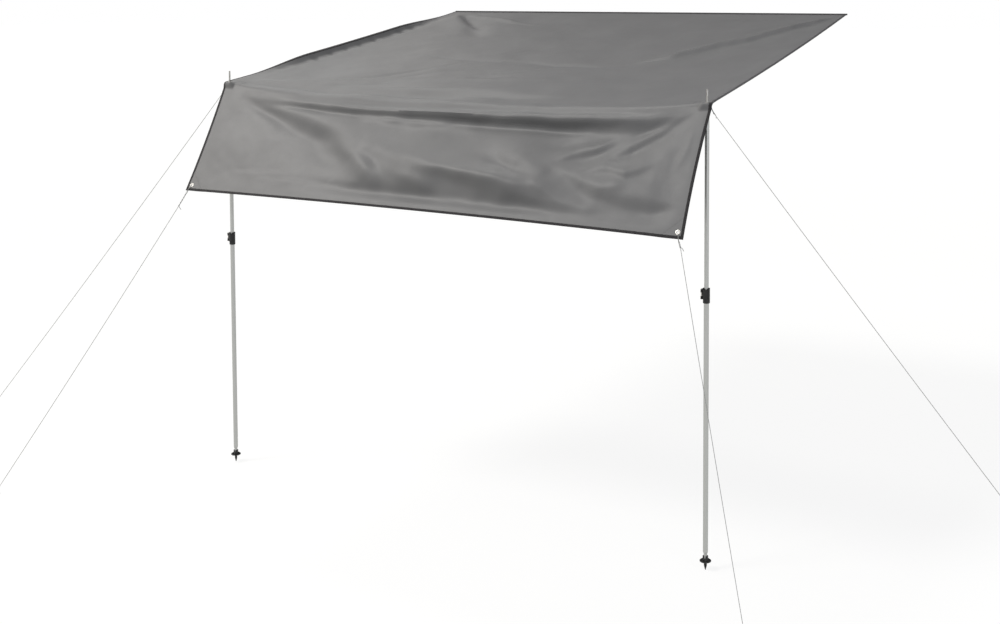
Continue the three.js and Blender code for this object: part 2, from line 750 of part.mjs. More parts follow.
// The corner lines pass through the flap's eyelets and round its hem
function cornerLoop(eyelet, length) {
  return (pull) => {
    const flat = pull.clone().addScaledVector(eyelet.axis, -pull.dot(eyelet.axis)).normalize();
    const knot = eyelet.centre.clone().addScaledVector(pull, length);
    return { knot, axes: [flat, eyelet.axis.clone().cross(flat), eyelet.axis], route: cornerLoopRoute };
  };
}

const [leftPole, rightPole] = poles;
const [leftCorner, rightCorner] = cornerEyelets;
addGuyLine("left_ridge", leftPole.top, ridgeLoop(leftPole.top), -leftRidgePegOut, leftRidgePegFront);
addGuyLine("right_ridge", rightPole.top, ridgeLoop(rightPole.top), rightRidgePegOut, rightRidgePegFront);
const leftLoop = cornerLoop(leftCorner, leftCornerTie);
const rightLoop = cornerLoop(rightCorner, rightCornerTie);
addGuyLine("left_corner", leftCorner.centre, leftLoop, -leftCornerPegOut, leftCornerPegFront);
addGuyLine("right_corner", rightCorner.centre, rightLoop, rightCornerPegOut, rightCornerPegFront);

// The fins' outline in shares of the spike's width and length, and arcs in shares of a turn
const finOutlineShares = [[-0.5, 1.05], [-0.46, 0.5], [-0.09, 0], [0.09, 0], [0.46, 0.5], [0.5, 1.05]];
const leverArcShares = [0.572, 0.9];
const leverLipShares = [0.868, 0.9];

// Poles. Each is built along Z with zero at its pivot, the middle of the guy line's loop, and the clamp
// has a frame of its own at its lower end.
const clampRadius = lowerTubeRadius + seatGap + clampWall;
const clampNeckTop = clampSocket + clampNeck;
const cupRadius = clampRadius - clampCupWall;
const pinFront = clampSlot / 2 + frontEar + seatGap + leverBarrel;
const pinHeight = (earBottom + earTop) / 2;
const knuckleGap = earTop - earBottom - leverKnuckle * 2;
const discTop = footSpikeLength + footDiscThickness;
const socketTop = discTop + footSocketDepth;
const tubeFoot = discTop + seatGap;
const seatUnderLoop = cordRadius + seatGap;

function lowerTube(tip, clampBottom) {
  const outerTaper = tubeFoot + swageLength;
  const top = clampBottom + clampSocket - seatGap;
  const bore = lowerTubeRadius - tubeWall;
  return ring([
    [swageRadius - tubeWall, tip + tubeFoot],
    [swageRadius, tip + tubeFoot],
    [swageRadius, tip + outerTaper],
    [lowerTubeRadius, tip + outerTaper + swageTaper],
    [lowerTubeRadius, top],
    [bore, top],
    [bore, tip + outerTaper + swageTaper],
    [swageRadius - tubeWall, tip + outerTaper],
  ]);
}

// The foot moulding: a finned ground spike, a ribbed disc, and a socket with a notch in front
function foot() {
  const edge = footDiscRadius - footDiscRound;
  const plate = turned([
    [0, footSpikeLength],
    [edge, footSpikeLength],
    [footDiscRadius, footSpikeLength + footDiscRound],
    [footDiscRadius, discTop - footDiscRound],
    [edge, discTop],
    [footSocketRadius, discTop],
    [footSocketRadius, socketTop],
    [0, socketTop],
  ]);
  const fin = raised(
    finOutlineShares.map(([x, y]) => [x * footSpikeWidth, y * footSpikeLength]),
    -footFinThickness / 2,
    footFinThickness / 2,
  ).rotateX(Math.PI / 2);
  const ribInner = footSocketRadius - footDiscThickness / 2;
  const rib = raised(
    [
      [ribInner, discTop - footDiscRound],
      [edge - footDiscRound, discTop - footDiscRound],
      [edge - footDiscRound, discTop + footRibToe],
      [footSocketRadius, discTop + footRibHeight],
      [ribInner, discTop + footRibHeight],
    ],
    -footRibThickness / 2,
    footRibThickness / 2,
  ).rotateX(Math.PI / 2);
  const ribs = [];
  for (let i = 0; i < footRibs; i++) ribs.push(rib.clone().rotateZ(((i + 0.5) / footRibs) * Math.PI * 2));
  const notchTop = socketTop + overrun;
  const notchRound = socketTop - footNotchDepth + footNotchWidth / 2;
  const halfNotch = footNotchWidth / 2;
  const front = [-footSocketRadius - overrun, 0];
  return cut(joined([plate, fin, fin.clone().rotateZ(Math.PI / 2), ...ribs]), [
    rod(swageRadius + seatGap, discTop, notchTop, roundSides),
    block([-halfNotch, halfNotch], front, [notchRound, notchTop]),
    alongY(rod(halfNotch, 0, footSocketRadius + overrun)).rotateZ(Math.PI).translate(0, 0, notchRound),
  ]);
}

// The clamp: a socket for the lower tube, a split neck round the upper one, an open cup above it with
// a scalloped front, and two ears on its left
function clampCollar() {
  const shell = turned([
    [0, 0],
    [clampRadius - clampRound, 0],
    [clampRadius, clampRound],
    [clampRadius, clampHeight - clampCupWall],
    [clampRadius + clampLip, clampHeight],
    [0, clampHeight],
  ]);
  const halfSlot = clampSlot / 2;
  const earInner = -(cupRadius - clampLip);
  const front = block([-earReach, earInner], [-halfSlot - frontEar, -halfSlot], [earBottom, earTop]);
  const back = block([-earReach, earInner], [halfSlot, halfSlot + backEar], [earBottom, earTop]);
  const scallop = alongY(rod(clampScallopRadius, 0, clampRadius * 2)).rotateZ(Math.PI);
  const scallopRise = clampHeight - clampScallop + clampScallopRadius;
  const screwHole = alongY(rod(screwRadius + seatGap, -earReach, earReach));
  return cut(joined([shell, front, back]), [
    rod(lowerTubeRadius + seatGap, -overrun, clampSocket, roundSides),
    rod(upperTubeRadius + seatGap, 0, clampHeight + overrun, roundSides),
    rod(cupRadius, clampNeckTop, clampHeight + overrun, roundSides),
    block([-earReach - overrun, -upperTubeRadius], [-halfSlot, halfSlot], [slotBottom, clampHeight + overrun]),
    scallop.translate(0, 0, scallopRise),
    screwHole.translate(-pinOut, 0, pinHeight),
  ]);
}

// The lever: a curved plate that wraps the clamp's front, with a thumb lip, on two knuckles
function clampLever() {
  const inner = clampRadius + leverGap;
  const outer = inner + leverPlate;
  const lip = arcBand(outer - leverPlate / 2, outer + leverThumb, leverLipShares, 2);
  const knuckles = [earBottom, earTop - leverKnuckle].map((z) =>
    rod(leverBarrel, z, z + leverKnuckle).translate(-pinOut, -pinFront, 0),
  );
  const lever = joined([
    raised(arcBand(inner, outer, leverArcShares, 10), earBottom, earTop),
    raised(lip, earBottom, earTop),
    ...knuckles,
  ]);
  return cut(lever, [
    rod(leverCleared, earBottom + leverKnuckle, earTop - leverKnuckle).translate(-pinOut, -pinFront, 0),
    rod(pinRadius + seatGap, earBottom - overrun, earTop + overrun).translate(-pinOut, -pinFront, 0),
  ]);
}

// The outline of a band between two radii over an arc given in shares of a turn
function arcBand(inner, outer, [from, to], steps) {
  const outside = [];
  const inside = [];
  for (let i = 0; i <= steps; i++) {
    const turn = (from + ((to - from) * i) / steps) * Math.PI * 2;
    outside.push([outer * Math.cos(turn), outer * Math.sin(turn)]);
    inside.unshift([inner * Math.cos(turn), inner * Math.sin(turn)]);
  }
  return [...outside, ...inside];
}

// The lever's pin, with a thick middle that the clamp's screw passes through
function leverPin() {
  const halfMiddle = knuckleGap / 2 - seatGap;
  const halfPin = (earTop - earBottom) / 2;
  const pin = turned(
    [
      [0, -halfPin],
      [pinRadius, -halfPin],
      [pinRadius, -halfMiddle],
      [trunnionRadius, -halfMiddle],
      [trunnionRadius, halfMiddle],
      [pinRadius, halfMiddle],
      [pinRadius, halfPin],
      [0, halfPin],
    ],
    smallSides,
  );
  return cut(pin, [alongY(rod(screwRadius + seatGap, -leverBarrel, leverBarrel))]);
}

function clampScrew() {
  const back = clampSlot / 2 + backEar + seatGap;
  const screwEnd = -(pinFront + trunnionRadius + screwProud);
  const screw = turned(
    [
      [0, screwEnd],
      [screwRadius, screwEnd],
      [screwRadius, back],
      [screwHeadRadius, back],
      [screwHeadRadius, back + screwHead],
      [0, back + screwHead],
    ],
    smallSides,
  );
  return alongY(screw);
}

function upperTube(bottom, top) {
  const bore = upperTubeRadius - tubeWall;
  return ring([[bore, bottom], [upperTubeRadius, bottom], [upperTubeRadius, top], [bore, top]]);
}

// The bush that guides the upper tube's lower end inside the lower tube
function slideBush(tubeEnd) {
  const guide = lowerTubeRadius - tubeWall - seatGap;
  const spigot = upperTubeRadius - tubeWall - seatGap;
  const shoulder = tubeEnd - seatGap;
  return turned([
    [0, shoulder - bushFlange],
    [guide, shoulder - bushFlange],
    [guide, shoulder],
    [spigot, shoulder],
    [spigot, shoulder + bushSpigot],
    [0, shoulder + bushSpigot],
  ]);
}

// The plug in the pole's top, coned so that the pole can lean under the loop and the eyelet
function topPlug() {
  const spigot = upperTubeRadius - tubeWall - seatGap;
  const bore = spikeRadius + seatGap;
  const flangeBottom = -(seatUnderLoop + plugShoulder + plugFlange);
  return turned([
    [0, flangeBottom - plugSpigot],
    [spigot, flangeBottom - plugSpigot],
    [spigot, flangeBottom],
    [upperTubeRadius, flangeBottom],
    [upperTubeRadius, -seatUnderLoop - plugShoulder],
    [bore, -seatUnderLoop],
    [bore, -spikeSocket - seatGap],
    [0, -spikeSocket - seatGap],
  ]);
}

function topSpike() {
  return turned(
    [
      [0, -spikeSocket],
      [spikeRadius, -spikeSocket],
      [spikeRadius, spikeReach - spikeRound],
      [spikeRadius / 2, spikeReach],
      [0, spikeReach],
    ],
    smallSides,
  );
}

for (const pole of poles) {
  const side = pole.side < 0 ? "left" : "right";
  const tip = -pole.length;
  const frame = new THREE.Group();
  frame.position.copy(pole.top);
  frame.quaternion.setFromUnitVectors(up, pole.direction);
  const clampFrame = new THREE.Group();
  clampFrame.position.z = tip + clampTopHeight - clampHeight;
  frame.add(clampFrame);
  canopy.add(frame);

  const clampBottom = clampFrame.position.z;
  const upperEnd = clampBottom + clampSocket - upperTubeOverlap;
  const upperTop = -(seatUnderLoop + plugShoulder + plugFlange + seatGap);
  addPiece(`lower_tube_${side}`, lowerTube(tip, clampBottom), "tube", frame);
  addPiece(`foot_${side}`, foot().translate(0, 0, tip), "plastic", frame);
  addPiece(`clamp_collar_${side}`, clampCollar(), "plastic", clampFrame);
  addPiece(`clamp_lever_${side}`, clampLever(), "plastic", clampFrame);
  addPiece(`lever_pin_${side}`, leverPin(), "metal", clampFrame).position.set(-pinOut, -pinFront, pinHeight);
  addPiece(`clamp_screw_${side}`, clampScrew(), "metal", clampFrame).position.set(-pinOut, 0, pinHeight);
  addPiece(`upper_tube_${side}`, upperTube(upperEnd, upperTop), "tube", frame);
  addPiece(`slide_bush_${side}`, slideBush(upperEnd), "plastic", frame);
  addPiece(`top_plug_${side}`, topPlug(), "plastic", frame);
  addPiece(`top_spike_${side}`, topSpike(), "metal", frame);
}

export default canopy;
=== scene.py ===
# %% [markdown]
# # A caravan sun canopy
# The object is a grey coated sheet that slides into a caravan's awning rail, rests on the spikes of two
# telescopic poles and hangs over their line as a front flap. White guy lines pull it out to pegs.
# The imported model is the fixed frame: every piece made here lies where its solid lies, in metres, with
# X along the rail, Y towards the caravan and Z up, and zero at the middle of the rail's keder.

import math

import bpy
import numpy as np
from mathutils import Matrix, Vector


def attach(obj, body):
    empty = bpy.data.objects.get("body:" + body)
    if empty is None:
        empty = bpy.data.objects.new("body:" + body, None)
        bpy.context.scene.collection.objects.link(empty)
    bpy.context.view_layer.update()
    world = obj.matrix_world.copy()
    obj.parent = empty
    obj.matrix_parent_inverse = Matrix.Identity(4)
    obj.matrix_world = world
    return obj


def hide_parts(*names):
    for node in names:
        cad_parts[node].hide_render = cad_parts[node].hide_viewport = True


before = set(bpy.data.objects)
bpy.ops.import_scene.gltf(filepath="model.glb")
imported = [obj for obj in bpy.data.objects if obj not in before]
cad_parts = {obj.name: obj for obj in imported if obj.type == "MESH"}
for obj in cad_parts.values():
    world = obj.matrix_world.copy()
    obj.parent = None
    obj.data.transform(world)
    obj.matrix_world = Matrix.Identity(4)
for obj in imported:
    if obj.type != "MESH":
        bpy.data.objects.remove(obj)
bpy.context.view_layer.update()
print("solids in the frame:", len(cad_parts))

# %% [markdown]
# The camera comes first, because the guy lines are judged by what it sees. A photograph that was taken
# standing up and then cropped keeps its horizon off the middle, so the camera stands where the
# photographer stood, looks a little down, and its shift does the cropping.

# %% Set up the camera
camera_place = Vector((2.9264, -6.7463, 0.1124))
camera_turn = 0.47272
camera_tilt = 0.172705
sensor_width = 36.0
focal_share = 1.17932
shift_across, shift_up = -0.060, -0.112
farthest_seen = 200

camera_data = bpy.data.cameras.new("camera")
camera_data.sensor_width = sensor_width
camera_data.lens = focal_share * sensor_width
camera_data.shift_x = shift_across
camera_data.shift_y = shift_up
camera_data.clip_end = farthest_seen
camera = bpy.data.objects.new("camera", camera_data)
camera.location = camera_place
camera.rotation_euler = (math.pi / 2 - camera_tilt, 0, camera_turn)
bpy.context.scene.collection.objects.link(camera)
bpy.context.scene.camera = camera
print("lens:", round(camera_data.lens, 2), "mm")

# %% [markdown]
# These are the sizes of the real object, the same as in its solids. The tools of a workshop read in
# millimetres and Blender in metres, so small sizes are written as a number of millimetres.

# %% Name the sizes
MM = 0.001

canopy_width = 2600 * MM
pole_reach = 2195 * MM
roof_drop = 322 * MM
rail_height = 2340 * MM
flap_reach = 313 * MM
flap_drop = 510 * MM
eyelet_inset = 27 * MM
binding_width = 12 * MM
keder_setback = 16 * MM
edge_in_tape = 1.1 * MM
seat_gap = 0.3 * MM
both_sides = ((-1, "left"), (1, "right"))

roof_length = math.hypot(pole_reach, roof_drop)
flap_length = math.hypot(flap_reach, flap_drop)
half_sheet = canopy_width / 2 - edge_in_tape
half_spacing = canopy_width / 2 - eyelet_inset
sheet_start = keder_setback + binding_width
sheet_end = roof_length + flap_length
print("roof", round(roof_length, 3), "m, flap", round(flap_length, 3), "m")

# %% [markdown]
# Cloth that hangs between a few points shows three things at once: a broad sag, long folds that fan out
# from each place that carries load, and small wrinkles where the coating creases. Each is written here
# as a height over the flat cut, so one function can say where any point of the cloth lies. The sheet,
# its bindings, its patches and its eyelets all ask the same function and so stay together.

# %% Write the long folds
# Each fold runs from a place to a place, across from pole to pole (-1 to 1) and down the roof or the
# flap (0 to 1), with its width and height as shares of the two values below.
fold_width = 75 * MM
fold_depth = 20 * MM

roof_folds = [
    ((-0.97, 0.985), (0.25, 0.67), 0.8, -0.55),
    ((-0.9, 0.975), (0.35, 0.84), 0.95, 0.5),
    ((-0.8, 0.96), (0.6, 0.955), 0.75, -0.45),
    ((0.97, 0.06), (0.45, 0.63), 1, 0.95),
    ((-0.95, 0.03), (-0.5, 0.36), 0.9, -0.75),
    ((-0.72, 0.57), (0.5, 0.64), 0.6, -0.25),
]
flap_folds = [
    ((-0.6, 0.13), (0.99, 0.115), 0.45, 1.15),
    ((-0.94, 0.13), (0.85, 0.2), 0.45, -0.95),
    ((-0.95, 0.1), (-0.3, 0.5), 0.8, -0.95),
    ((-0.38, 0.45), (0.25, 0.9), 0.9, -0.75),
    ((0.97, 0.1), (0.42, 0.4), 0.7, -0.7),
    ((0.16, 0.45), (0.8, 0.85), 0.95, -0.55),
    ((-0.1, 0.62), (0.66, 0.72), 0.7, 0.45),
]


def eased(share):
    """Rises softly from 0 to 1 as the share does."""
    x = np.clip(share, 0.0, 1.0)
    return x * x * (3 - 2 * x)


def long_folds(across, down):
    """The height of all long folds; each is narrow where it starts, widens and fades out."""
    height = np.zeros_like(across)
    for folds, top, length in ((roof_folds, 0.0, roof_length), (flap_folds, roof_length, flap_length)):
        for (x0, y0), (x1, y1), wide, tall in folds:
            x0, y0 = x0 * half_spacing, top + y0 * length
            dx, dy = x1 * half_spacing - x0, top + y1 * length - y0
            span = math.hypot(dx, dy)
            along = ((across - x0) * dx + (down - y0) * dy) / span**2
            aside = ((across - x0) * dy - (down - y0) * dx) / span
            broad = wide * fold_width * (0.45 + 0.55 * eased(along))
            fade = eased(along / 0.4) * eased((1 - along) / 0.3)
            height += tall * fold_depth * fade * np.exp(-((aside / broad) ** 2))
    return height


print("long folds:", len(roof_folds), "on the roof and", len(flap_folds), "on the flap")

# %% [markdown]
# Small creases follow bent lines: some are tension lines that leave a pole, some are the marks of how
# the canopy was folded in its bag. Each is a line of places on the flat cut, in metres, with a width
# and a height in millimetres. Two more numbers, where they are given, are the shares of the line over
# which it rises and dies away. A "ridge" is a bump, or a hollow where its height is below zero; a "step"
# is a flank that turns down, as under an overhanging fold, and is what makes the dark tongues.

# %% Write the small creases
creases = [
    # on the roof, from the left pole
    ("ridge", [(-1.34, 2.20), (-0.9, 2.11), (-0.5, 2.07), (0.0, 2.05), (0.7, 2.05)], 50, -26),
    ("ridge", [(-1.34, 2.21), (-0.9, 2.00), (-0.6, 1.86), (-0.2, 1.74), (0.4, 1.66)], 45, 18),
    ("ridge", [(-1.25, 2.18), (-1.04, 2.01), (-0.84, 1.89), (-0.69, 1.8), (-0.55, 1.59), (-0.36, 1.35),
               (-0.1, 1.25)], 13, -6),
    ("ridge", [(-0.94, 2.02), (-0.7, 1.88), (-0.56, 1.78), (-0.45, 1.64), (-0.26, 1.49),
               (-0.07, 1.36)], 13, -5.5),
    ("ridge", [(-1.08, 1.23), (-0.9, 1.27), (-0.69, 1.26), (-0.45, 1.3), (-0.2, 1.31)], 11, -4),
    # the marks of the bag fold that cross near the middle
    ("ridge", [(-0.4, 1.32), (-0.19, 1.3), (-0.04, 1.31), (0.14, 1.37), (0.4, 1.37), (0.75, 1.36)], 11, -5),
    ("ridge", [(-0.45, 1.25), (-0.24, 1.13), (-0.13, 0.98), (0.07, 0.92)], 11, -5),
    ("ridge", [(-0.30, 1.50), (-0.15, 1.24), (0.01, 1.11), (0.2, 0.93)], 11, 5),
    ("ridge", [(-0.22, 1.63), (-0.02, 1.56), (0.25, 1.38)], 11, -5),
    # from the rail's ends
    ("step", [(-1.2, 0.12), (-0.98, 0.36), (-0.75, 0.58)], 26, -20, 0.2, 0.4),
    ("ridge", [(-1.2, 0.04), (-0.98, 0.18), (-0.62, 0.35), (-0.3, 0.42)], 22, 10),
    ("ridge", [(0.40, 1.38), (0.7, 1.19), (0.82, 1.0), (0.95, 0.79), (1.07, 0.54), (1.28, 0.04)],
     17, 18, 0.3, 0.12),
    # the roll along the ridge and the hollow under it
    ("ridge", [(-1.1, 2.26), (-0.94, 2.265), (-0.66, 2.277), (-0.48, 2.295), (-0.16, 2.305),
               (0.2, 2.303), (0.52, 2.295), (0.81, 2.287), (1.04, 2.275), (1.2, 2.265)],
     30, 10, 0.25, 0.15),
    ("step", [(-1.0, 2.28), (-0.66, 2.30), (-0.48, 2.325), (-0.11, 2.35), (0.21, 2.335), (0.52, 2.33),
              (0.81, 2.32), (1.04, 2.295)], 17, 7, 0.3, 0.2),
    # on the flap, from the left pole
    ("step", [(-1.20, 2.25), (-1.0, 2.34), (-0.8, 2.41), (-0.58, 2.48), (-0.39, 2.58), (-0.20, 2.74)],
     42, 25, 0.75, 0.25),
    ("step", [(-0.33, 2.53), (-0.14, 2.63), (0.0, 2.69), (0.24, 2.77)], 36, 20, 0.4, 0.4),
    ("step", [(-0.2, 2.53), (0.08, 2.60), (0.24, 2.635), (0.45, 2.70), (0.74, 2.75)], 38, 22, 0.5, 0.4),
    ("step", [(-0.75, 2.70), (-0.1, 2.735), (0.45, 2.75), (1.3, 2.75)], 50, 28),
    ("ridge", [(-0.9, 2.60), (-0.1, 2.61), (0.5, 2.62), (1.3, 2.61)], 85, 10),
    # on the flap, from the right pole
    ("step", [(0.60, 2.53), (0.93, 2.39), (1.05, 2.33), (1.2, 2.25)], 24, 14),
    ("step", [(0.86, 2.50), (1.06, 2.385), (1.16, 2.31), (1.25, 2.24)], 17, 9),
    ("step", [(1.19, 2.55), (1.235, 2.40), (1.265, 2.26)], 12, -4),
    # where the hanging cloth wrinkles
    ("step", [(0.30, 2.42), (0.46, 2.54), (0.6, 2.64), (0.78, 2.74)], 34, 11, 0.55, 0.4),
    ("step", [(0.60, 2.51), (0.8, 2.61), (0.9, 2.63), (1.08, 2.61)], 26, 8),
    ("step", [(0.75, 2.57), (0.92, 2.54), (1.0, 2.56), (1.15, 2.48)], 20, 8),
    ("step", [(0.80, 2.64), (1.12, 2.70), (1.34, 2.69)], 34, 12),
    ("step", [(-1.1, 2.69), (-0.89, 2.68), (-0.66, 2.67)], 8, -1.5),
    ("step", [(-0.92, 2.72), (-0.68, 2.71), (-0.50, 2.71)], 8, -1.5),
]


def step_lengths(points):
    """The lengths of the steps from each point of a line to the next."""
    return np.linalg.norm(np.diff(points, axis=0), axis=1)


def crease(across, down, kind, line, width, tall, begin=0.35, end=0.45):
    """A crease along a bent line: its height follows the distance to the nearest of the line's parts,
    rises over the first share of the line and dies away over the last."""
    line = np.array(line)
    parts = step_lengths(line)
    nearest = np.full(across.shape, np.inf)
    signed = np.zeros_like(across)
    share = np.zeros_like(across)
    begun = 0.0
    for (x0, y0), (x1, y1), part in zip(line[:-1], line[1:], parts):
        along = np.clip(((across - x0) * (x1 - x0) + (down - y0) * (y1 - y0)) / part**2, 0, 1)
        far = np.hypot(across - x0 - along * (x1 - x0), down - y0 - along * (y1 - y0))
        below = np.sign((down - y0) * (x1 - x0) - (across - x0) * (y1 - y0))
        share = np.where(far < nearest, (begun + along * part) / parts.sum(), share)
        signed = np.where(far < nearest, below * far, signed)
        nearest = np.minimum(nearest, far)
        begun += part
    fade = eased(share / begin) * eased((1 - share) / end)
    reach = signed / (width * MM * (0.5 + 0.5 * fade))
    if kind == "ridge":
        return tall * MM * fade * np.exp(-reach * reach)
    return -tall * MM * fade * np.tanh(reach) * np.exp(-((reach / 4.5) ** 2))


print("creases:", len(creases))

# %% [markdown]
# Between the folds no cloth is a perfect plane. Sums of waves in seeded directions, the same on every
# run, do three things: slow ones make the cloth faintly uneven, short ones crumple it where it was
# packed, and another set bends the lines of the creases, so that none of them runs dead straight.

# %% Add unevenness
wave_seed = np.random.default_rng(7)


def seeded_waves(count, shortest, longest):
    """Headings, lengths and phases of waves."""
    ranges = ((0, math.tau), (shortest, longest), (0, math.tau))
    return [tuple(wave_seed.uniform(*ends) for ends in ranges) for _ in range(count)]


slow_waves = seeded_waves(26, 140 * MM, 500 * MM)
short_waves = seeded_waves(24, 35 * MM, 110 * MM)
bending_waves = seeded_waves(10, 90 * MM, 280 * MM)
# heights of waves of these lengths; a longer wave is higher in proportion
slow_height, slow_length = 0.45 * MM, 300 * MM
crumple_height, crumple_length = 0.1 * MM, 80 * MM
bending = 2.2 * MM
# steps of this turn, in radians, spread directions evenly
even_turn = 2.4


def wave(across, down, heading, length, phase):
    """A wave of height 1 that runs over the flat cut."""
    return np.sin((across * math.cos(heading) + down * math.sin(heading)) * math.tau / length + phase)


def patch(across, down, middle, size):
    """1 in the middle of a patch of the cloth, fading out."""
    return np.exp(-((across - middle[0]) / size[0]) ** 2 - ((down - middle[1]) / size[1]) ** 2)


print("waves:", len(slow_waves) + len(short_waves) + len(bending_waves))

# %% [markdown]
# The left edge of the roof has no pull on it between the rail and the pole, so it curls up a little and
# shows its binding, with a hollow beside it. Near the sewn edges the folds die away.

# %% Add up the height of the cloth
calm_edge = 90 * MM
curl_height = 27 * MM
curl_width = 36 * MM
curl_hollow = 6 * MM
hollow_middle, hollow_half = 52 * MM, 22 * MM
hollow_long, hollow_short = 137 * MM, 83 * MM
# how far down the roof the curl starts and ends, and how long it takes to rise and to fall
curl_start, curl_rise, curl_end, curl_fall = 0.1, 0.6, 2.05, 0.5
# how much of the short waves shows everywhere, and the patches, each a middle and a size, with more
crumpled_everywhere = 0.35
crumpled_patches = [((0.75, 2.58), (0.4, 0.12)), ((-1.2, 2.7), (0.12, 0.12))]


def curled_edge(across, down):
    """The height of the curl along the left edge and of the uneven hollow beside it."""
    along_edge = eased((down - curl_start) / curl_rise) * eased((curl_end - down) / curl_fall)
    inward = across + half_sheet
    rise = curl_height * eased(1 - inward / curl_width)
    uneven = 0.55 * np.sin(down * math.tau / hollow_long)
    uneven = uneven + 0.45 * np.sin(down * math.tau / hollow_short + 4 * np.sin(down * 5))
    hollow = curl_hollow * np.exp(-(((inward - hollow_middle) / hollow_half) ** 2)) * (1 + uneven)
    return along_edge * (rise - hollow)


def cloth_height(across, down):
    """All that lifts or lowers the cloth off its plain curve, dying away towards the sewn edges."""
    bent_across, bent_down = across, down
    for k, bend in enumerate(bending_waves):
        shift = bending * wave(across, down, *bend)
        bent_across = bent_across + shift * math.cos(k * even_turn)
        bent_down = bent_down + shift * math.sin(k * even_turn)
    height = long_folds(across, down)
    for heading, length, phase in slow_waves:
        height = height + slow_height * (length / slow_length) * wave(across, down, heading, length, phase)
    for line in creases:
        height = height + crease(bent_across, bent_down, *line)
    crumpled = sum((patch(across, down, *spot) for spot in crumpled_patches), crumpled_everywhere)
    for heading, length, phase in short_waves:
        crumple = wave(bent_across, bent_down, heading, length, phase)
        height = height + crumpled * crumple_height * length / crumple_length * crumple
    from_edge = np.minimum(half_sheet - np.abs(across), sheet_end - down) - eyelet_inset
    calm = eased(np.minimum(from_edge, down - sheet_start) / calm_edge)
    return height * calm + curled_edge(across, down)


sampled = np.meshgrid(np.linspace(-half_sheet, half_sheet), np.linspace(sheet_start, sheet_end))
heights = cloth_height(*sampled)
print("cloth between", heights.min().round(3), "and", heights.max().round(3), "m off its plain curve")

# %% [markdown]
# The roof turns into the flap over a soft roll: tight at the poles, where the eyelets hold it, and
# wider in the middle, where nothing but the pull of the lines keeps it up. One function hangs any point
# of the flat cut: it sags the roof, bows the flap and lifts the point off by the height just summed up.

# %% Hang a point of the flat cut
roof_edge_sag = 12 * MM
roof_middle_sag = 18 * MM
ridge_sag = 51 * MM
hem_rise = 10 * MM
side_hollow = 8 * MM
roll_at_pole = 14 * MM
roll_in_middle = 34 * MM


def hung(across, down):
    """Where a point of the flat cut hangs, without the eyelets."""
    side = np.minimum(np.abs(across) / half_spacing, 1)
    middle = 1 - side**2
    roll = roll_at_pole + (roll_in_middle - roll_at_pole) * middle
    past = np.clip(down - roof_length, -roll, None)
    over = np.where(past < roll, (past + roll) ** 2 / (4 * roll), past)
    on_flap = over / flap_length
    on_roof = (down - over) / roof_length
    slack = np.clip((on_roof * roof_length - sheet_start) / (roof_length - sheet_start), 0, 1)
    roof_bow = 4 * slack * (1 - slack)
    flap_bow = 4 * np.minimum(on_flap, 1) * (1 - np.minimum(on_flap, 1))
    sag = ridge_sag * (1 - side**4) * slack**2 * (1 - on_flap)
    lean = eased((down - roof_length + fold_width / 2) / fold_width)
    out_y = -flap_drop / flap_length * lean
    out_z = 1 - lean + flap_reach / flap_length * lean
    height = cloth_height(across, down) / np.hypot(out_y, out_z)
    x = across - across / half_sheet * side_hollow * flap_bow
    y = -pole_reach * on_roof - flap_reach * on_flap + height * out_y
    z = -roof_drop * on_roof - flap_drop * on_flap - (roof_edge_sag + roof_middle_sag * middle) * roof_bow
    z = z - sag + hem_rise * on_flap * middle + height * out_z
    return np.stack([x, y, z], axis=-1)


print("bare middle of the ridge:", hung(np.array(0.0), np.array(roof_length)).round(3))

# %% [markdown]
# An eyelet is stiff, so it keeps the cloth round it flat: level where it sits on a pole, and in the
# slope of the flap at a corner. The cloth is drawn to that flat place and let go again around it.

# %% Hold the cloth flat at the eyelets
ridge_flat = 12 * MM
ridge_fade = 26 * MM


def eyelet_at(side, down, flat, fade, level):
    """The place, direction and flat surroundings of an eyelet, level or in the slope of the cloth."""
    across = side * half_spacing
    centre = np.array([across, -pole_reach, -roof_drop])
    along = np.array([0.0, -1.0, 0.0])
    if not level:
        centre = hung(np.array(across), np.array(down))
        along = centre - hung(np.array(across), np.array(down - eyelet_inset))
        along /= np.linalg.norm(along)
    axis = np.cross(along, [1.0, 0.0, 0.0])
    return dict(across=across, down=down, centre=centre, along=along, axis=axis / np.linalg.norm(axis),
                flat=flat, fade=fade)


eyelet_flat = eyelet_inset + edge_in_tape
ridge_eyelets = [eyelet_at(side, roof_length, ridge_flat, ridge_fade, True) for side, _ in both_sides]
corner_down = sheet_end - eyelet_inset
corner_eyelets = [eyelet_at(side, corner_down, eyelet_flat, calm_edge, False) for side, _ in both_sides]


def cloth_place(across, down):
    """Where a point of the flat cut hangs, held flat beside the eyelets."""
    across, down = np.broadcast_arrays(np.asarray(across, float), np.asarray(down, float))
    place = hung(across, down)
    for eyelet in ridge_eyelets + corner_eyelets:
        dx, dy = across - eyelet["across"], down - eyelet["down"]
        hold = 1 - eased((np.abs(dx) - eyelet["flat"]) / eyelet["fade"])
        hold = hold * (1 - eased((np.abs(dy) - eyelet["flat"]) / eyelet["fade"]))
        flat = eyelet["centre"] + dx[..., None] * np.array([1.0, 0, 0]) + dy[..., None] * eyelet["along"]
        place = place + (flat - place) * hold[..., None]
    return place


print("middle of the ridge:", cloth_place(0.0, roof_length).round(3))

# %% [markdown]
# Tapes, patches and stitches lie on either face of the cloth. Their points are set off it along its
# normal, which comes from the places of four near neighbours. Points are spaced closer where the cloth
# turns over the ridge and beside the eyelets, because small forms need them there.

# %% Set points off the cloth
neighbour_step = 1.5 * MM
row_shares, close_rows = (0, 0.58, 0.7, 1), 60 * MM
column_shares, close_columns = (0, 0.07, 0.93, 1), 80 * MM


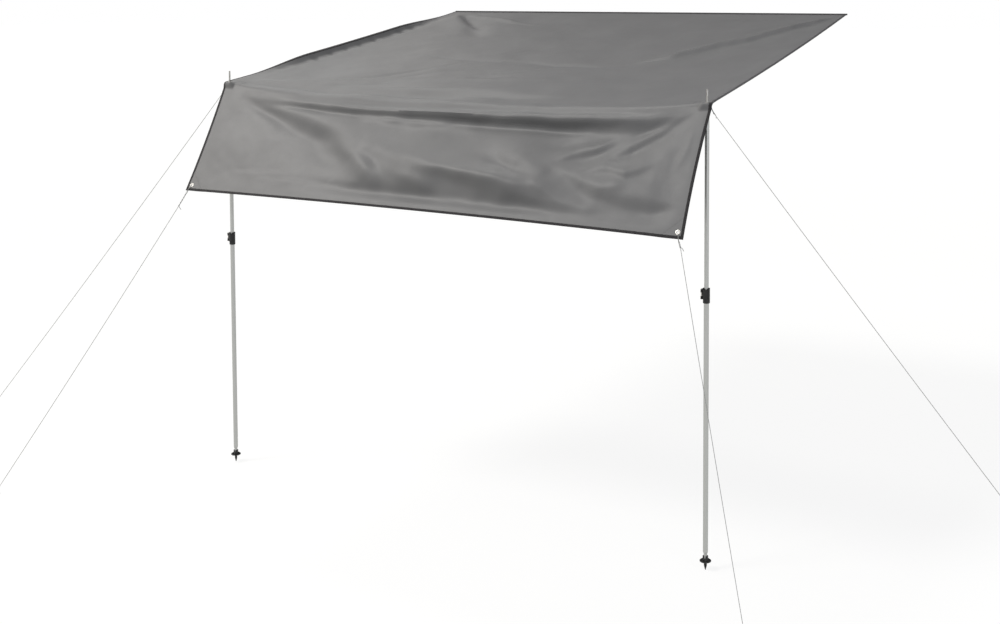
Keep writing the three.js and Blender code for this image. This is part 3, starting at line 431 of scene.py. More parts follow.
def on_cloth(across, down, height):
    """A place on the cloth, a height off its middle."""
    across, down = np.broadcast_arrays(np.asarray(across, float), np.asarray(down, float))
    step = neighbour_step
    downwards = cloth_place(across, down + step) - cloth_place(across, down - step)
    rightwards = cloth_place(across + step, down) - cloth_place(across - step, down)
    normal = np.cross(downwards, rightwards)
    normal /= np.linalg.norm(normal, axis=-1, keepdims=True)
    return cloth_place(across, down) + normal * np.asarray(height, float)[..., None]


def rows_down(share, start, end):
    """Where rows of points lie down the cut, from 0 to 1: closest where the cloth turns over."""
    return np.interp(share, row_shares, [start, roof_length - close_rows, roof_length + close_rows, end])


def columns_across(share):
    """The same across the cut, from 0 to 1: closest beside the edges, where the eyelets are."""
    near = half_sheet - close_columns
    return np.interp(share, column_shares, [-half_sheet, -near, near, half_sheet])


print("every quarter of the rows:", rows_down(np.linspace(0, 1, 5), sheet_start, sheet_end).round(3))

# %% [markdown]
# All finishes are made of nodes. The helpers turn the hex colour that a painter would note down into the
# linear numbers that Blender mixes, add a node with its settings and links, and start a material.

# %% Make the helpers for materials
def colour(code):
    """The linear colour of an sRGB hex code such as 8a8886."""
    parts = [int(code[i:i + 2], 16) / 255 for i in (0, 2, 4)]
    return tuple(c / 12.92 if c <= 0.04045 else ((c + 0.055) / 1.055) ** 2.4 for c in parts) + (1.0,)


def add_node(material, kind, inputs=None, feeds=None, **settings):
    """A node with its settings and its inputs, each a value or the socket that feeds it, and with the
    input of another node that its own first output feeds."""
    tree = material.node_tree
    node = tree.nodes.new("ShaderNode" + kind)
    for name, value in settings.items():
        setattr(node, name, value)
    for name, value in (inputs or {}).items():
        if isinstance(value, bpy.types.NodeSocket):
            tree.links.new(value, node.inputs[name])
        else:
            node.inputs[name].default_value = value
    if feeds is not None:
        tree.links.new(node.outputs[0], feeds)
    return node


def new_material(name, base, roughness, metallic=0.0, **others):
    """A material with a Principled shader, and that shader."""
    material = bpy.data.materials.new(name)
    material.use_nodes = True
    shader = material.node_tree.nodes["Principled BSDF"]
    shader.inputs["Base Color"].default_value = colour(base)
    shader.inputs["Roughness"].default_value = roughness
    shader.inputs["Metallic"].default_value = metallic
    for socket, value in others.items():
        shader.inputs[socket.replace("_", " ")].default_value = value
    print("finish:", name)
    return material, shader


def stops(node, *pairs):
    """Sets the colours of a colour ramp at their positions."""
    ramp = node.color_ramp
    while len(ramp.elements) < len(pairs):
        ramp.elements.new(0.5)
    for element, (position, code) in zip(ramp.elements, pairs):
        element.position = position
        element.color = colour(code)


def bands(period):
    """The scale at which a Wave Texture repeats every so many metres."""
    return math.tau / 20 / period


print("mid grey is", round(colour("808080")[0], 3), "when it is linear")

# %% [markdown]
# The canopy is woven polyester with a polyurethane coat. The coat fills the weave, so the eye sees an
# even grey with a dull satin shine, with faint blotches where the coat is thicker and where it has been
# rubbed. The threads lie 0.5 mm apart, which only shows close up.

# %% Make the coated polyester
coated, shader = new_material("coated woven polyester, satin grey", "848484", 0.48, Sheen_Weight=0.12,
                              Sheen_Roughness=0.5, Specular_IOR_Level=0.4)
cut_place = add_node(coated, "UVMap").outputs["UV"]
blotches = add_node(coated, "TexNoise",
                    {"Vector": cut_place, "Scale": 3.0, "Detail": 5.0, "Roughness": 0.6})
tones = add_node(coated, "ValToRGB", {"Fac": blotches.outputs["Fac"]}, shader.inputs["Base Color"])
stops(tones, (0.3, "7f7f7f"), (0.7, "878787"))
rubbed = add_node(coated, "TexNoise", {"Vector": cut_place, "Scale": 22.0, "Detail": 3.0})
add_node(coated, "MapRange", {"Value": rubbed.outputs["Fac"], "To Min": 0.43, "To Max": 0.53},
         shader.inputs["Roughness"])
thread_spacing = 0.5 * MM
warp, weft = [add_node(coated, "TexWave", {"Vector": cut_place, "Scale": bands(thread_spacing)},
                       bands_direction=way) for way in "XY"]
weave = add_node(coated, "Math", {0: warp.outputs["Fac"], 1: weft.outputs["Fac"]}, operation="MULTIPLY")
add_node(coated, "Bump", {"Height": weave.outputs[0], "Strength": 0.25, "Distance": 0.05 * MM},
         shader.inputs["Normal"])

# %% [markdown]
# The binding is a ribbed polyester webbing folded over the raw edge. It is nearly black and matt, with
# ribs that run across the tape every 1.2 mm.

# %% Make the webbing
webbing, shader = new_material("ribbed polyester webbing, charcoal", "2f2d2e", 0.78, Sheen_Weight=0.25,
                               Specular_IOR_Level=0.3)
tape_place = add_node(webbing, "UVMap").outputs["UV"]
rib_spacing = 1.2 * MM
ribs = add_node(webbing, "TexWave", {"Vector": tape_place, "Scale": bands(rib_spacing)},
                bands_direction="Y")
lint = add_node(webbing, "TexNoise", {"Vector": tape_place, "Scale": 90.0, "Detail": 4.0})
tones = add_node(webbing, "ValToRGB", {"Fac": lint.outputs["Fac"]}, shader.inputs["Base Color"])
stops(tones, (0.3, "2a2829"), (0.75, "383637"))
add_node(webbing, "Bump", {"Height": ribs.outputs["Fac"], "Strength": 0.6, "Distance": 0.2 * MM},
         shader.inputs["Normal"])

# %% [markdown]
# The guy lines are braided polyester cord. Its strands cross over each other, so its surface is a lattice of
# small diamonds raised by a bump. Its colour carries painted shade: lighter on the diamonds' backs and
# painted grey in the grooves between them.

# %% Make the braided cord
braided, shader = new_material("braided polyester cord, off-white", "dedfda", 0.8, Sheen_Weight=0.2)
cord_place = add_node(braided, "UVMap").outputs["UV"]
braid_pitch = 2.4 * MM
slants = []
for turn in (1, -1):
    # one coordinate runs round the cord from 0 to 1, the other along it in metres
    slanted = add_node(braided, "Mapping",
                       {"Vector": cord_place, "Scale": (4.0 * turn, 1 / braid_pitch, 0.0)})
    slants.append(add_node(braided, "TexWave", {"Vector": slanted.outputs["Vector"], "Scale": bands(2.0)},
                           bands_direction="DIAGONAL").outputs["Fac"])
strand_relief_and_shade = add_node(braided, "Math", dict(enumerate(slants)), operation="MAXIMUM").outputs[0]
# painted shade: the colour follows the bump's height, grey in the grooves between the strands and lighter on
# their backs
tones = add_node(braided, "ValToRGB", {"Fac": strand_relief_and_shade}, shader.inputs["Base Color"])
stops(tones, (0.25, "b9bab5"), (0.8, "e4e5e0"))
add_node(braided, "Bump", {"Height": strand_relief_and_shade, "Strength": 0.8, "Distance": 0.25 * MM},
         shader.inputs["Normal"])

# %% [markdown]
# The poles are drawn aluminium tube with a clear matt anodised skin. Drawing leaves fine lines along
# the tube, which stretch its highlight, and handling leaves a few duller patches.

# %% Make the anodised tube
anodised, shader = new_material("drawn aluminium tube, matt anodised", "b7b8b5", 0.38, 0.85)
tube_place = add_node(anodised, "TexCoord").outputs["Object"]
drawn = add_node(anodised, "Mapping", {"Vector": tube_place, "Scale": (900.0, 900.0, 6.0)})
lines = add_node(anodised, "TexNoise", {"Vector": drawn.outputs["Vector"], "Scale": 1.0, "Detail": 2.0})
handled = add_node(anodised, "TexNoise", {"Vector": tube_place, "Scale": 14.0, "Detail": 4.0})
add_node(anodised, "MapRange", {"Value": handled.outputs["Fac"], "To Min": 0.3, "To Max": 0.5},
         shader.inputs["Roughness"])
add_node(anodised, "Bump", {"Height": lines.outputs["Fac"], "Strength": 0.15, "Distance": 0.03 * MM},
         shader.inputs["Normal"])

# %% [markdown]
# Feet, clamps, levers and plugs are moulded glass-filled nylon: black, a little grey where the light
# grazes it, with the fine grain of an eroded mould.

# %% Make the moulded nylon
nylon, shader = new_material("moulded glass-filled nylon, black", "262626", 0.5, Specular_IOR_Level=0.4)
mould_place = add_node(nylon, "TexCoord").outputs["Object"]
grain_size = 0.5 * MM
grain = add_node(nylon, "TexNoise", {"Vector": mould_place, "Scale": 1 / grain_size, "Detail": 2.0})
flow = add_node(nylon, "TexNoise", {"Vector": mould_place, "Scale": 60.0, "Detail": 3.0})
tones = add_node(nylon, "ValToRGB", {"Fac": flow.outputs["Fac"]}, shader.inputs["Base Color"])
stops(tones, (0.3, "222222"), (0.75, "303030"))
add_node(nylon, "Bump", {"Height": grain.outputs["Fac"], "Strength": 0.35, "Distance": 0.05 * MM},
         shader.inputs["Normal"])

# %% [markdown]
# Eyelets, spikes, pins and screws are nickel-plated steel and the pegs are zinc-plated wire. Nickel is
# bright and slightly warm; zinc is duller and blotched.

# %% Make the plated metals
def plated(name, base, dark, low, high, size):
    """A plated metal with blotches of a darker tone and a roughness that wanders with them."""
    material, shader = new_material(name, base, low, 1.0)
    place = add_node(material, "TexCoord").outputs["Object"]
    blots = add_node(material, "TexNoise", {"Vector": place, "Scale": 1 / size, "Detail": 4.0})
    tones = add_node(material, "ValToRGB", {"Fac": blots.outputs["Fac"]}, shader.inputs["Base Color"])
    stops(tones, (0.35, dark), (0.65, base))
    add_node(material, "MapRange", {"Value": blots.outputs["Fac"], "To Min": high, "To Max": low},
             shader.inputs["Roughness"])
    return material


nickel = plated("nickel-plated steel, bright", "a9a7a2", "8f8d88", 0.22, 0.36, 12 * MM)
zinc = plated("zinc-plated steel wire", "c3c6c8", "9da1a4", 0.32, 0.5, 7 * MM)

# %% [markdown]
# Almost every piece of this object is a strip or a tube whose points follow a formula. Each starts as
# Blender's grid, whose points move to where a function says, with a UV map in metres. Other helpers
# close a mesh up, smooth it, apply a modifier, and dress the finished piece.

# %% Make the helpers for shapes
def nothing_selected():
    """Leaves edit mode and selects nothing."""
    if bpy.context.mode != "OBJECT":
        bpy.ops.object.mode_set(mode="OBJECT")
    bpy.ops.object.select_all(action="DESELECT")


def only(piece):
    """Makes a piece the one that Blender's tools work on."""
    nothing_selected()
    bpy.context.view_layer.objects.active = piece
    piece.select_set(True)


def all_points():
    """Enters edit mode with every point of the active piece selected."""
    bpy.ops.object.mode_set(mode="EDIT")
    bpy.ops.mesh.select_mode(type="VERT")
    bpy.ops.mesh.select_all(action="SELECT")


def named(name):
    """The form that was just added, under its own name."""
    piece = bpy.context.object
    piece.name = piece.data.name = name
    return piece


def grid(name, columns, rows):
    """A flat grid of size 1 round zero."""
    nothing_selected()
    bpy.ops.mesh.primitive_grid_add(x_subdivisions=columns, y_subdivisions=rows, size=1)
    return named(name)


def points_of(mesh):
    """The places of a mesh's points, one row each."""
    places = np.empty(len(mesh.vertices) * 3)
    mesh.vertices.foreach_get("co", places)
    return places.reshape(-1, 3)


def remapped(piece, places, flat):
    """Moves a piece's points to new places and gives each its pair of UVs."""
    mesh = piece.data
    mesh.vertices.foreach_set("co", places.ravel())
    corners = np.empty(len(mesh.loops), int)
    mesh.loops.foreach_get("vertex_index", corners)
    mesh.uv_layers[0].data.foreach_set("uv", flat[corners].ravel())
    mesh.update()
    return piece


def mapped_grid(name, columns, rows, place, flat):
    """A grid whose points go where place(u, v) says, u and v from 0 to 1, with flat(u, v) as its UVs."""
    piece = grid(name, columns, rows)
    u, v = points_of(piece.data)[:, :2].T + 0.5
    return remapped(piece, place(u, v), np.stack(flat(u, v), axis=-1))


def closed_up(piece, merge=0.002 * MM):
    """Merges a mesh's seams, fills its open ends and turns its faces outwards."""
    only(piece)
    all_points()
    bpy.ops.mesh.remove_doubles(threshold=merge)
    bpy.ops.mesh.fill_holes(sides=0)
    bpy.ops.mesh.select_all(action="SELECT")
    bpy.ops.mesh.normals_make_consistent(inside=False)
    bpy.ops.object.mode_set(mode="OBJECT")
    return piece


def smooth(piece, degrees=35):
    """Shades a piece smooth, except over edges sharper than this."""
    only(piece)
    bpy.ops.object.shade_smooth_by_angle(angle=math.radians(degrees))
    return piece


def add_modifier(piece, kind, **settings):
    """Adds a modifier with its settings and applies it at once."""
    only(piece)
    modifier = piece.modifiers.new(kind.lower(), kind)
    for name, value in settings.items():
        setattr(modifier, name, value)
    bpy.ops.object.modifier_apply(modifier=modifier.name)
    return piece


def dressed(piece, body, slot_name, material, *nodes):
    """Gives a piece its finish, its body and the solids that it stands for."""
    piece.data.materials.clear()
    piece.data.materials.append(material)
    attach(piece, body)
    if nodes:
        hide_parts(*nodes)
    print(piece.name, "faces:", len(piece.data.polygons))
    return piece


# %% [markdown]
# A tube is such a grid rolled round a route. The route is a smooth curve through a few chosen places. A
# direction beside it is carried from step to step without turning about it, so the tube never wrings.

# %% Make the helpers for tubes
def smooth_route(points, steps):
    """A curve through the points, with so many steps from each to the next."""
    points = np.asarray(points, float)
    ends = np.vstack([2 * points[0] - points[1], points, 2 * points[-1] - points[-2]])
    t = (np.arange(steps) / steps)[:, None]
    parts = []
    for a, b, c, d in zip(ends[:-3], ends[1:-2], ends[2:-1], ends[3:]):
        bend = (2 * a - 5 * b + 4 * c - d) * t**2 + (3 * b - a - 3 * c + d) * t**3
        parts.append((2 * b + (c - a) * t + bend) / 2)
    return np.vstack(parts + [points[-1:]])


def tube_along(name, route, radius, sides=12):
    """A round tube along a route; its UVs run round it from 0 to 1 and along it in metres."""
    route = np.asarray(route, float)
    tangents = np.gradient(route, axis=0)
    tangents /= np.linalg.norm(tangents, axis=1, keepdims=True)
    # any direction that no route starts along
    side = np.cross(tangents[0], [0.3, 0.2, 0.93])
    carried = []
    for tangent in tangents:
        side = side - tangent * side.dot(tangent)
        side /= np.linalg.norm(side)
        carried.append(side)
    first = np.array(carried)
    second = np.cross(tangents, first)
    steps = len(route) - 1
    run = np.concatenate([[0], np.cumsum(step_lengths(route))])
    width = np.broadcast_to(radius, len(route))

    def place(u, v):
        i = np.rint(v * steps).astype(int)
        turn = (u * math.tau)[:, None]
        return route[i] + width[i][:, None] * (np.cos(turn) * first[i] + np.sin(turn) * second[i])

    def flat(u, v):
        return u, run[np.rint(v * steps).astype(int)]

    return smooth(closed_up(mapped_grid(name, sides, steps, place, flat)), 50)


corner_route = smooth_route([(0, 0, 0), (1, 0, 0), (1, 1, 0)], 8)
print("a route round a corner of 2 m is", step_lengths(corner_route).sum().round(3), "m long")

# %% [markdown]
# ## The guy lines
# Each guy line is one length of braided cord with a loop tied in either end. The ridge lines loop round
# the poles' spikes below the sheet, the corner lines pass through the eyelets in the flap. They are held
# taut by pegs in the ground, just outside the photograph. The route of each free stretch is worked out
# from the same places as its solid: from the knot at the canopy to the knot at the peg, 8 mm slack.

# %% Lay out the cord routes
cord_radius = 1.2 * MM
cord_knot = 3.2 * MM
line_sag = 8 * MM
peg_neck = 26 * MM
peg_tie = 26 * MM
peg_lean = 0.42
knot_half = 3.5 * MM
strand_aside = 1.3 * MM
loop_drop = 5.4 * MM
ridge_knot_out = 32 * MM
ridge_knot_drop = 38 * MM
up = np.array([0.0, 0.0, 1.0])


def unit(vector):
    """A vector's direction, of length 1."""
    return np.asarray(vector, float) / np.linalg.norm(vector)


pole_tops = [eyelet["centre"] - loop_drop * up for eyelet in ridge_eyelets]
# each cord's start, its peg on the ground, and how far out along its pull the knot of a corner loop is
cord_ends = {
    "left_ridge": (pole_tops[0], (-3.130, -2.363), None),
    "right_ridge": (pole_tops[1], (3.080, -2.435), None),
    "left_corner": (corner_eyelets[0]["centre"], (-2.050, -3.165), 120 * MM),
    "right_corner": (corner_eyelets[1]["centre"], (1.685, -2.760), 60 * MM),
}
cord_routes = {}
for name, (start, peg, tie) in cord_ends.items():
    ground = np.array([*peg, -rail_height])
    pull = unit(ground - start)
    if tie:
        knot = start + pull * tie
    else:
        knot = start + unit([pull[0], pull[1], 0]) * ridge_knot_out - up * ridge_knot_drop
    neck = ground + pull * (peg_neck / pull[2])
    rise = unit(knot - neck)
    lower_knot = neck + rise * peg_tie
    share = np.linspace(0, 1, 25)[:, None]
    line = (knot - rise * knot_half) * (1 - share) + (lower_knot + rise * knot_half) * share
    line = line - up * line_sag * 4 * share * (1 - share)
    cord_routes[name] = dict(start=start, pull=pull, knot=knot, neck=neck, rise=rise,
                             lower_knot=lower_knot, line=line)
    print(name, "free stretch", round(float(step_lengths(line).sum()), 3), "m")

# %% [markdown]
# A loop is tied with an overhand knot: the doubled cord goes once round itself. Seen from a step away it
# is a small round lump, so it is made as a tube that follows the overhand knot's own curve, the trefoil.
# The free end sticks out of it as a short tail with a few loose fibres.

# %% Tie loops, knots and tails
# Route points, in millimetres: out towards the knot, aside, and up or along the eyelet
ridge_loop = [
    (24, 1.6, -25), (17.5, 1.9, -9.5), (12.6, 2.7, -2.4), (6.4, 4.7, -0.2), (0, 6, 0), (-4.3, 4.3, 0),
    (-6, 0, 0), (-4.3, -4.3, 0), (0, -6, 0), (6.4, -4.7, -0.2), (12.6, -2.7, -2.4), (17.5, -1.9, -9.5),
    (24, -1.6, -25),
]
corner_loop = [
    (31, 1.3, 3.0), (17, 1.7, 4.0), (10, 1.6, 4.6), (4.4, 1.2, 4.0), (2, 0, 0),
    (4.4, -1.2, -4.0), (10, -1.6, -4.3), (17, -1.7, -3.6), (31, -1.3, -2.7),
]
peg_loop = [
    (9, 2.6, 4), (4, 4.3, 0.8), (-0.6, 5, 0), (-3.9, 3.1, 0), (-5, 0, 0),
    (-3.9, -3.1, 0), (-0.6, -5, 0), (4, -4.3, 0.8), (9, -2.6, 4),
]
tail = [(0, 0, 0), (1.5, 4, -3), (5, 6.5, -9), (7, 6, -17)]
fibres, fibre_radius = 5, 0.35 * MM


def located(origin, axes, points):
    """Places given in millimetres along three axes."""
    return np.asarray(origin) + np.asarray(points, float) * MM @ np.asarray(axes)


def joined(name, pieces):
    """Several meshes as one."""
    nothing_selected()
    for piece in pieces:
        piece.select_set(True)
    bpy.context.view_layer.objects.active = pieces[0]
    bpy.ops.object.join()
    pieces[0].name = pieces[0].data.name = name
    pieces[0].select_set(False)
    return pieces[0]


def overhand_knot(name, centre, axis):
    """A tight overhand knot, its curve a trefoil stretched along the cord."""
    t = np.linspace(0, math.tau, 49)[:, None]
    aside = unit(np.cross(axis, [0.31, 0.9, 0.2]))
    across = np.cross(axis, aside)
    size = cord_knot - cord_radius
    curve = (np.sin(t) + 2 * np.sin(2 * t)) / 3 * aside + (np.cos(t) - 2 * np.cos(2 * t)) / 3 * across
    curve = curve - 0.85 * np.sin(3 * t) * axis
    return tube_along(name, np.asarray(centre) + size * curve, cord_radius, 10)


def strands(origin, axes, route, knot, twists):
    """The loop's route with both its ends at the knot, twisted round each other on the way."""
    loop = located(origin, axes, route)
    ends = [loop[0], loop[-1]]
    share = np.linspace(1, 0, 3 if not twists else 8 * twists)[:-1]
    legs = []
    for end, sign in zip(ends, (1, -1)):
        axis = unit(end - knot)
        aside = unit(axes[1] - axis * axis.dot(axes[1]))
        other = np.cross(axis, aside)
        line = knot + (end - knot) * (1 - share)[:, None]
        turn = (1 - share) * math.tau * twists
        middle = (ends[0] + ends[1]) / 2
        line = line + (middle - end) * ((1 - share) * (share > 0.25))[:, None] * (twists > 0)
        spin = np.cos(turn)[:, None] * aside + np.sin(turn)[:, None] * other
        legs.append(line + sign * strand_aside * spin)
    return np.vstack([legs[0], loop, legs[1][::-1]])


def tied_loop(name, origin, axes, route, knot, twists=0):
    """A loop, its knot and its frayed tail as one piece."""
    loop = smooth_route(strands(origin, axes, route, knot, twists), 5)
    free_end = smooth_route(located(knot, axes, tail), 5)
    parts = [tube_along(name + "_loop", loop, cord_radius),
             overhand_knot(name + "_knot", knot, unit(knot - np.asarray(origin))),
             tube_along(name + "_tail", free_end, cord_radius)]
    tip = free_end[-1]
    for k in range(fibres):
        spread = np.cos(k * even_turn) * axes[0] + np.sin(k * even_turn) * axes[1]
        away = unit(tip - free_end[-3]) + 0.45 * spread
        fibre = smooth_route([tip - unit(away) * 0.4 * MM, tip + away * 2 * MM, tip + away * 4.2 * MM], 2)
        parts.append(tube_along(name + "_fibre", fibre, fibre_radius, 5))
    return joined(name, parts)


for name, route in (("ridge", ridge_loop), ("corner", corner_loop), ("peg", peg_loop)):
    print(name, "loop:", step_lengths(route).sum().round(1), "mm of cord")

# %% [markdown]
# Each cord gets a loop at either end. A ridge loop lies level round the spike and its knot hangs from
# it; a corner loop lies in the slope of the flap, and the left one's two strands are twisted.

# %% Tie both ends of each cord
for name, place in cord_routes.items():
    pull = place["pull"]
    if "ridge" in name:
        out = unit([pull[0], pull[1], 0])
        axes, route, twists = [out, np.cross(up, out), up], ridge_loop, 0
    else:
        normal = corner_eyelets[name == "right_corner"]["axis"]
        flat = unit(pull - normal * pull.dot(normal))
        axes, route = [flat, np.cross(normal, flat), normal], corner_loop
        twists = 3 if name == "left_corner" else 0
    tie = tied_loop(name + "_loop_and_knot", place["start"], axes, route, place["knot"], twists)
    dressed(tie, "canopy", "guy_cord", braided, name + "_guy_tie")
    away = -unit([place["rise"][0], place["rise"][1], 0])
    peg_axis = up * math.cos(peg_lean) + away * math.sin(peg_lean)
    peg_aside = unit(np.cross(peg_axis, away))
    place["peg_axes"] = [np.cross(peg_aside, peg_axis), peg_aside, peg_axis]
    tie_axes = [np.cross(peg_axis, peg_aside), -peg_aside, peg_axis]
    lower = tied_loop(name + "_peg_loop", place["neck"], tie_axes, peg_loop, place["lower_knot"])
    place["lower_tie"] = dressed(lower, "canopy", "guy_cord", braided, name + "_peg_tie")

# %% [markdown]
# The pegs are bent from 6 mm wire: a straight shaft with a ground point, and a hook that keeps the
# loop down. One is modelled on the Z axis, then each copy is turned to lean away from its cord.

# %% Bend the pegs and lay the free stretches
peg_radius = 3 * MM
peg_depth = 190 * MM
peg_point = 14 * MM
peg_rise = 10 * MM
hook_radius = 11 * MM
hook_turns = np.linspace(1, -0.15, 22) * math.pi
hook = np.stack([hook_radius * (1 + np.cos(hook_turns)), 0 * hook_turns,
                 peg_rise + hook_radius * np.sin(hook_turns)], axis=-1)
shaft_heights = np.array([-peg_depth, -peg_depth + 1 * MM, -peg_depth + peg_point, -peg_depth / 2, 0])
shaft = np.stack([0 * shaft_heights, 0 * shaft_heights, shaft_heights], axis=-1)
wire = np.vstack([shaft, hook])
wire_radius = np.full(len(wire), peg_radius)
# the ground point
wire_radius[:2] = 0.3 * MM, 0.6 * MM
for name, place in cord_routes.items():
    peg = tube_along(name + "_wire_peg", wire, wire_radius, 20)
    turn = Matrix(np.array(place["peg_axes"]).T).to_4x4()
    peg.data.transform(Matrix.Translation(place["neck"]) @ turn)
    dressed(peg, "canopy", "peg_steel", zinc, name + "_peg")
    stretch = tube_along(name + "_cord", place["line"], cord_radius)
    dressed(stretch, "canopy", "guy_cord", braided, name + "_guy_line")

# %% [markdown]
# ## The cloth
# The sheet is cut flat first, as in the workshop: a fine grid, thickened, with four holes punched where
# the eyelets go. Then every point moves from the flat cut to its place in the hanging canopy. Its UV map
# is the flat cut in metres, so the weave follows the cloth and does not stretch over a fold.

# %% Make the helpers that punch and hang a flat cut
cloth_thickness = 0.8 * MM
hole_radius = 7.2 * MM


def spanning(piece, x, y, z=(-0.5, 0.5)):
    """Stretches a form of size 1 from one value to another on each axis."""
    piece.data.transform(Matrix.Diagonal((x[1] - x[0], y[1] - y[0], z[1] - z[0], 1)))
    piece.data.transform(Matrix.Translation(((x[0] + x[1]) / 2, (y[0] + y[1]) / 2, (z[0] + z[1]) / 2)))
    return piece


def flat_piece(name, columns, rows, across, down, thickness):
    """A flat grid that lies across and down the cut, given a thickness evenly to both sides."""
    piece = spanning(grid(name, columns, rows), across, down)
    return add_modifier(piece, "SOLIDIFY", thickness=thickness, offset=0)


def rod(radius, bottom, top, sides=40, axis="Z", at=(0, 0, 0)):
    """A cylinder along Z, or along Y when axis says so, then moved."""
    nothing_selected()
    bpy.ops.mesh.primitive_cylinder_add(vertices=sides, radius=radius, depth=top - bottom)
    piece = bpy.context.object
    piece.data.transform(Matrix.Translation((0, 0, (top + bottom) / 2)))
    if axis == "Y":
        piece.data.transform(Matrix.Rotation(-math.pi / 2, 4, "X"))
    piece.data.transform(Matrix.Translation(at))
    return piece


def combined(piece, tools, operation="UNION"):
    """A piece joined with, or cut by, the tools, which are used up."""
    for tool in tools:
        add_modifier(piece, "BOOLEAN", operation=operation, solver="EXACT", object=tool)
        bpy.data.objects.remove(tool)
    return piece


def punched(piece, eyelets):
    """A flat piece with a round hole where each eyelet goes."""
    places = [(eyelet["across"], eyelet["down"], 0) for eyelet in eyelets]
    return combined(piece, [rod(hole_radius, -10 * MM, 10 * MM, 36, "Z", at) for at in places], "DIFFERENCE")


def hang(piece, height=0.0):
    """Moves a flat piece's points to the hanging cloth, and keeps the flat cut as its UVs."""
    cut = points_of(piece.data)
    return remapped(piece, on_cloth(cut[:, 0], cut[:, 1], height - cut[:, 2]), cut[:, :2])


print("flat cut:", round(canopy_width, 3), "by", round(sheet_end, 3), "m")

# %% [markdown]
# The sheet's grid has a column every 12 mm, and a row every 19 mm on the roof, every 9 mm on the flap
# and every 5 mm over the ridge, where the cloth turns.

# %% Cut the sheet and hang it
cloth_columns, cloth_rows = 240, 198
cloth = flat_piece("canopy_cloth", cloth_columns, cloth_rows, (0, 1), (0, 1), cloth_thickness)
for vertex in cloth.data.vertices:
    vertex.co.x = columns_across(vertex.co.x)
    vertex.co.y = rows_down(vertex.co.y, keder_setback, sheet_end)
smooth(hang(punched(cloth, ridge_eyelets + corner_eyelets)), 60)
dressed(cloth, "canopy", "canopy_fabric", coated, "canopy_sheet")

# %% [markdown]
# ## Bindings, patches and seams
# The raw edges are covered by a tape folded over them and sewn down with one row of lockstitch. A
# stitch is a short bead of thread that dips into the cloth at both ends. One is modelled, an Array
# modifier repeats it along the seam, and the row is then hung on the cloth like any flat piece.

# %% Make one row of stitches
thread, shader = new_material("bonded polyester thread, grey", "6a6866", 0.6, Sheen_Weight=0.2)
thread_place = add_node(thread, "TexCoord").outputs["Object"]
ply_length = 0.5 * MM
ply = add_node(thread, "TexWave", {"Vector": thread_place, "Scale": bands(ply_length)},
               bands_direction="DIAGONAL")
tones = add_node(thread, "ValToRGB", {"Fac": ply.outputs["Fac"]}, shader.inputs["Base Color"])
stops(tones, (0.2, "5c5a58"), (0.8, "767472"))
stitch_pitch = 4.2 * MM
stitch_length = 3.4 * MM
thread_radius = 0.28 * MM


def stitch_row(start, end, height):
    """Stitches along a line of the flat cut, on its face or, with a height below zero, on its back."""
    start, end = np.array(start), np.array(end)
    run = float(np.linalg.norm(end - start))
    sign = 1 if height > 0 else -1
    half = stitch_length / 2
    bead = [(-half, -0.15), (-half * 0.7, 0.12), (0, 0.2), (half * 0.7, 0.12), (half, -0.15)]
    row = tube_along("row", [(x, 0, -sign * z * MM) for x, z in bead], thread_radius, 6)
    row.data.transform(Matrix.Translation((stitch_pitch / 2, 0, 0)))
    add_modifier(row, "ARRAY", count=int(run / stitch_pitch), use_relative_offset=False,
                 use_constant_offset=True, constant_offset_displace=(stitch_pitch, 0, 0))
    heading = math.atan2(end[1] - start[1], end[0] - start[0])
    row.data.transform(Matrix.Translation((start[0], start[1], 0)) @ Matrix.Rotation(heading, 4, "Z"))
    return hang(row, height)


def sewn(name, lines):
    """Stitches as one piece, along lines of the flat cut that each have a start, an end and two heights."""
    rows = [stitch_row(start, end, height) for start, end, *heights in lines for height in heights]
    return dressed(joined(name, rows), "canopy", "binding_tape", thread)


# %% [markdown]
# The binding's section is a flat U: down one face of the sheet, round its edge and back up the other.
# A grid whose columns follow that U and whose rows follow the edge is thickened into tape.

# %% Fold the bindings
tape_thickness = 0.6 * MM
tape_height = 0.8 * MM
tape_top = tape_height + tape_thickness / 2
seam_inset = 9.4 * MM
tape_row = 10 * MM
tape_columns, side_rows, front_rows = 22, 250, 240
past_hem = 1.2 * MM


def folded(u):
    """The tape's section: how far in from the edge and how high, for u from 0 to 1."""
    flat = binding_width
    reach = u * (2 * flat + math.pi * tape_height)
    turn = np.clip((reach - flat) / tape_height, 0, math.pi)
    inset = np.where(reach < flat, flat - reach, np.maximum(reach - flat - math.pi * tape_height, 0))
    return inset - np.sin(turn) * tape_height * 0.8, tape_height * np.cos(turn)


def binding(name, steps, edge_place):
    """A folded tape; edge_place(inset, v) gives the place on the flat cut."""
    def place(u, v):
        inset, height = folded(u)
        across, down = edge_place(inset, v)
        return on_cloth(across, down, height)

    def flat(u, v):
        return u * 2 * binding_width, v * steps * tape_row

    piece = mapped_grid(name, tape_columns, steps, place, flat)
    add_modifier(piece, "SOLIDIFY", thickness=tape_thickness, offset=0)
    return smooth(closed_up(piece), 60)


for sign, side in both_sides:
    edge = binding(f"binding_{side}", side_rows, lambda inset, v: (
        sign * (half_sheet - inset), rows_down(v, sheet_start + seat_gap, sheet_end + past_hem)))
    dressed(edge, "canopy", "binding_tape", webbing, f"side_binding_{side}")
    seam_at = sign * (half_sheet - seam_inset)
    sewn(f"seam_{side}", [((seam_at, sheet_start), (seam_at, sheet_end - 2 * MM), tape_top, -tape_top)])
front_half = half_sheet - binding_width - 0.2 * MM
edge = binding("binding_front", front_rows,
               lambda inset, v: ((2 * v - 1) * front_half, sheet_end - inset))
dressed(edge, "canopy", "binding_tape", webbing, "front_binding")
seam_down = sheet_end - seam_inset
sewn("seam_front", [((-front_half, seam_down), (front_half, seam_down), tape_top, -tape_top)])

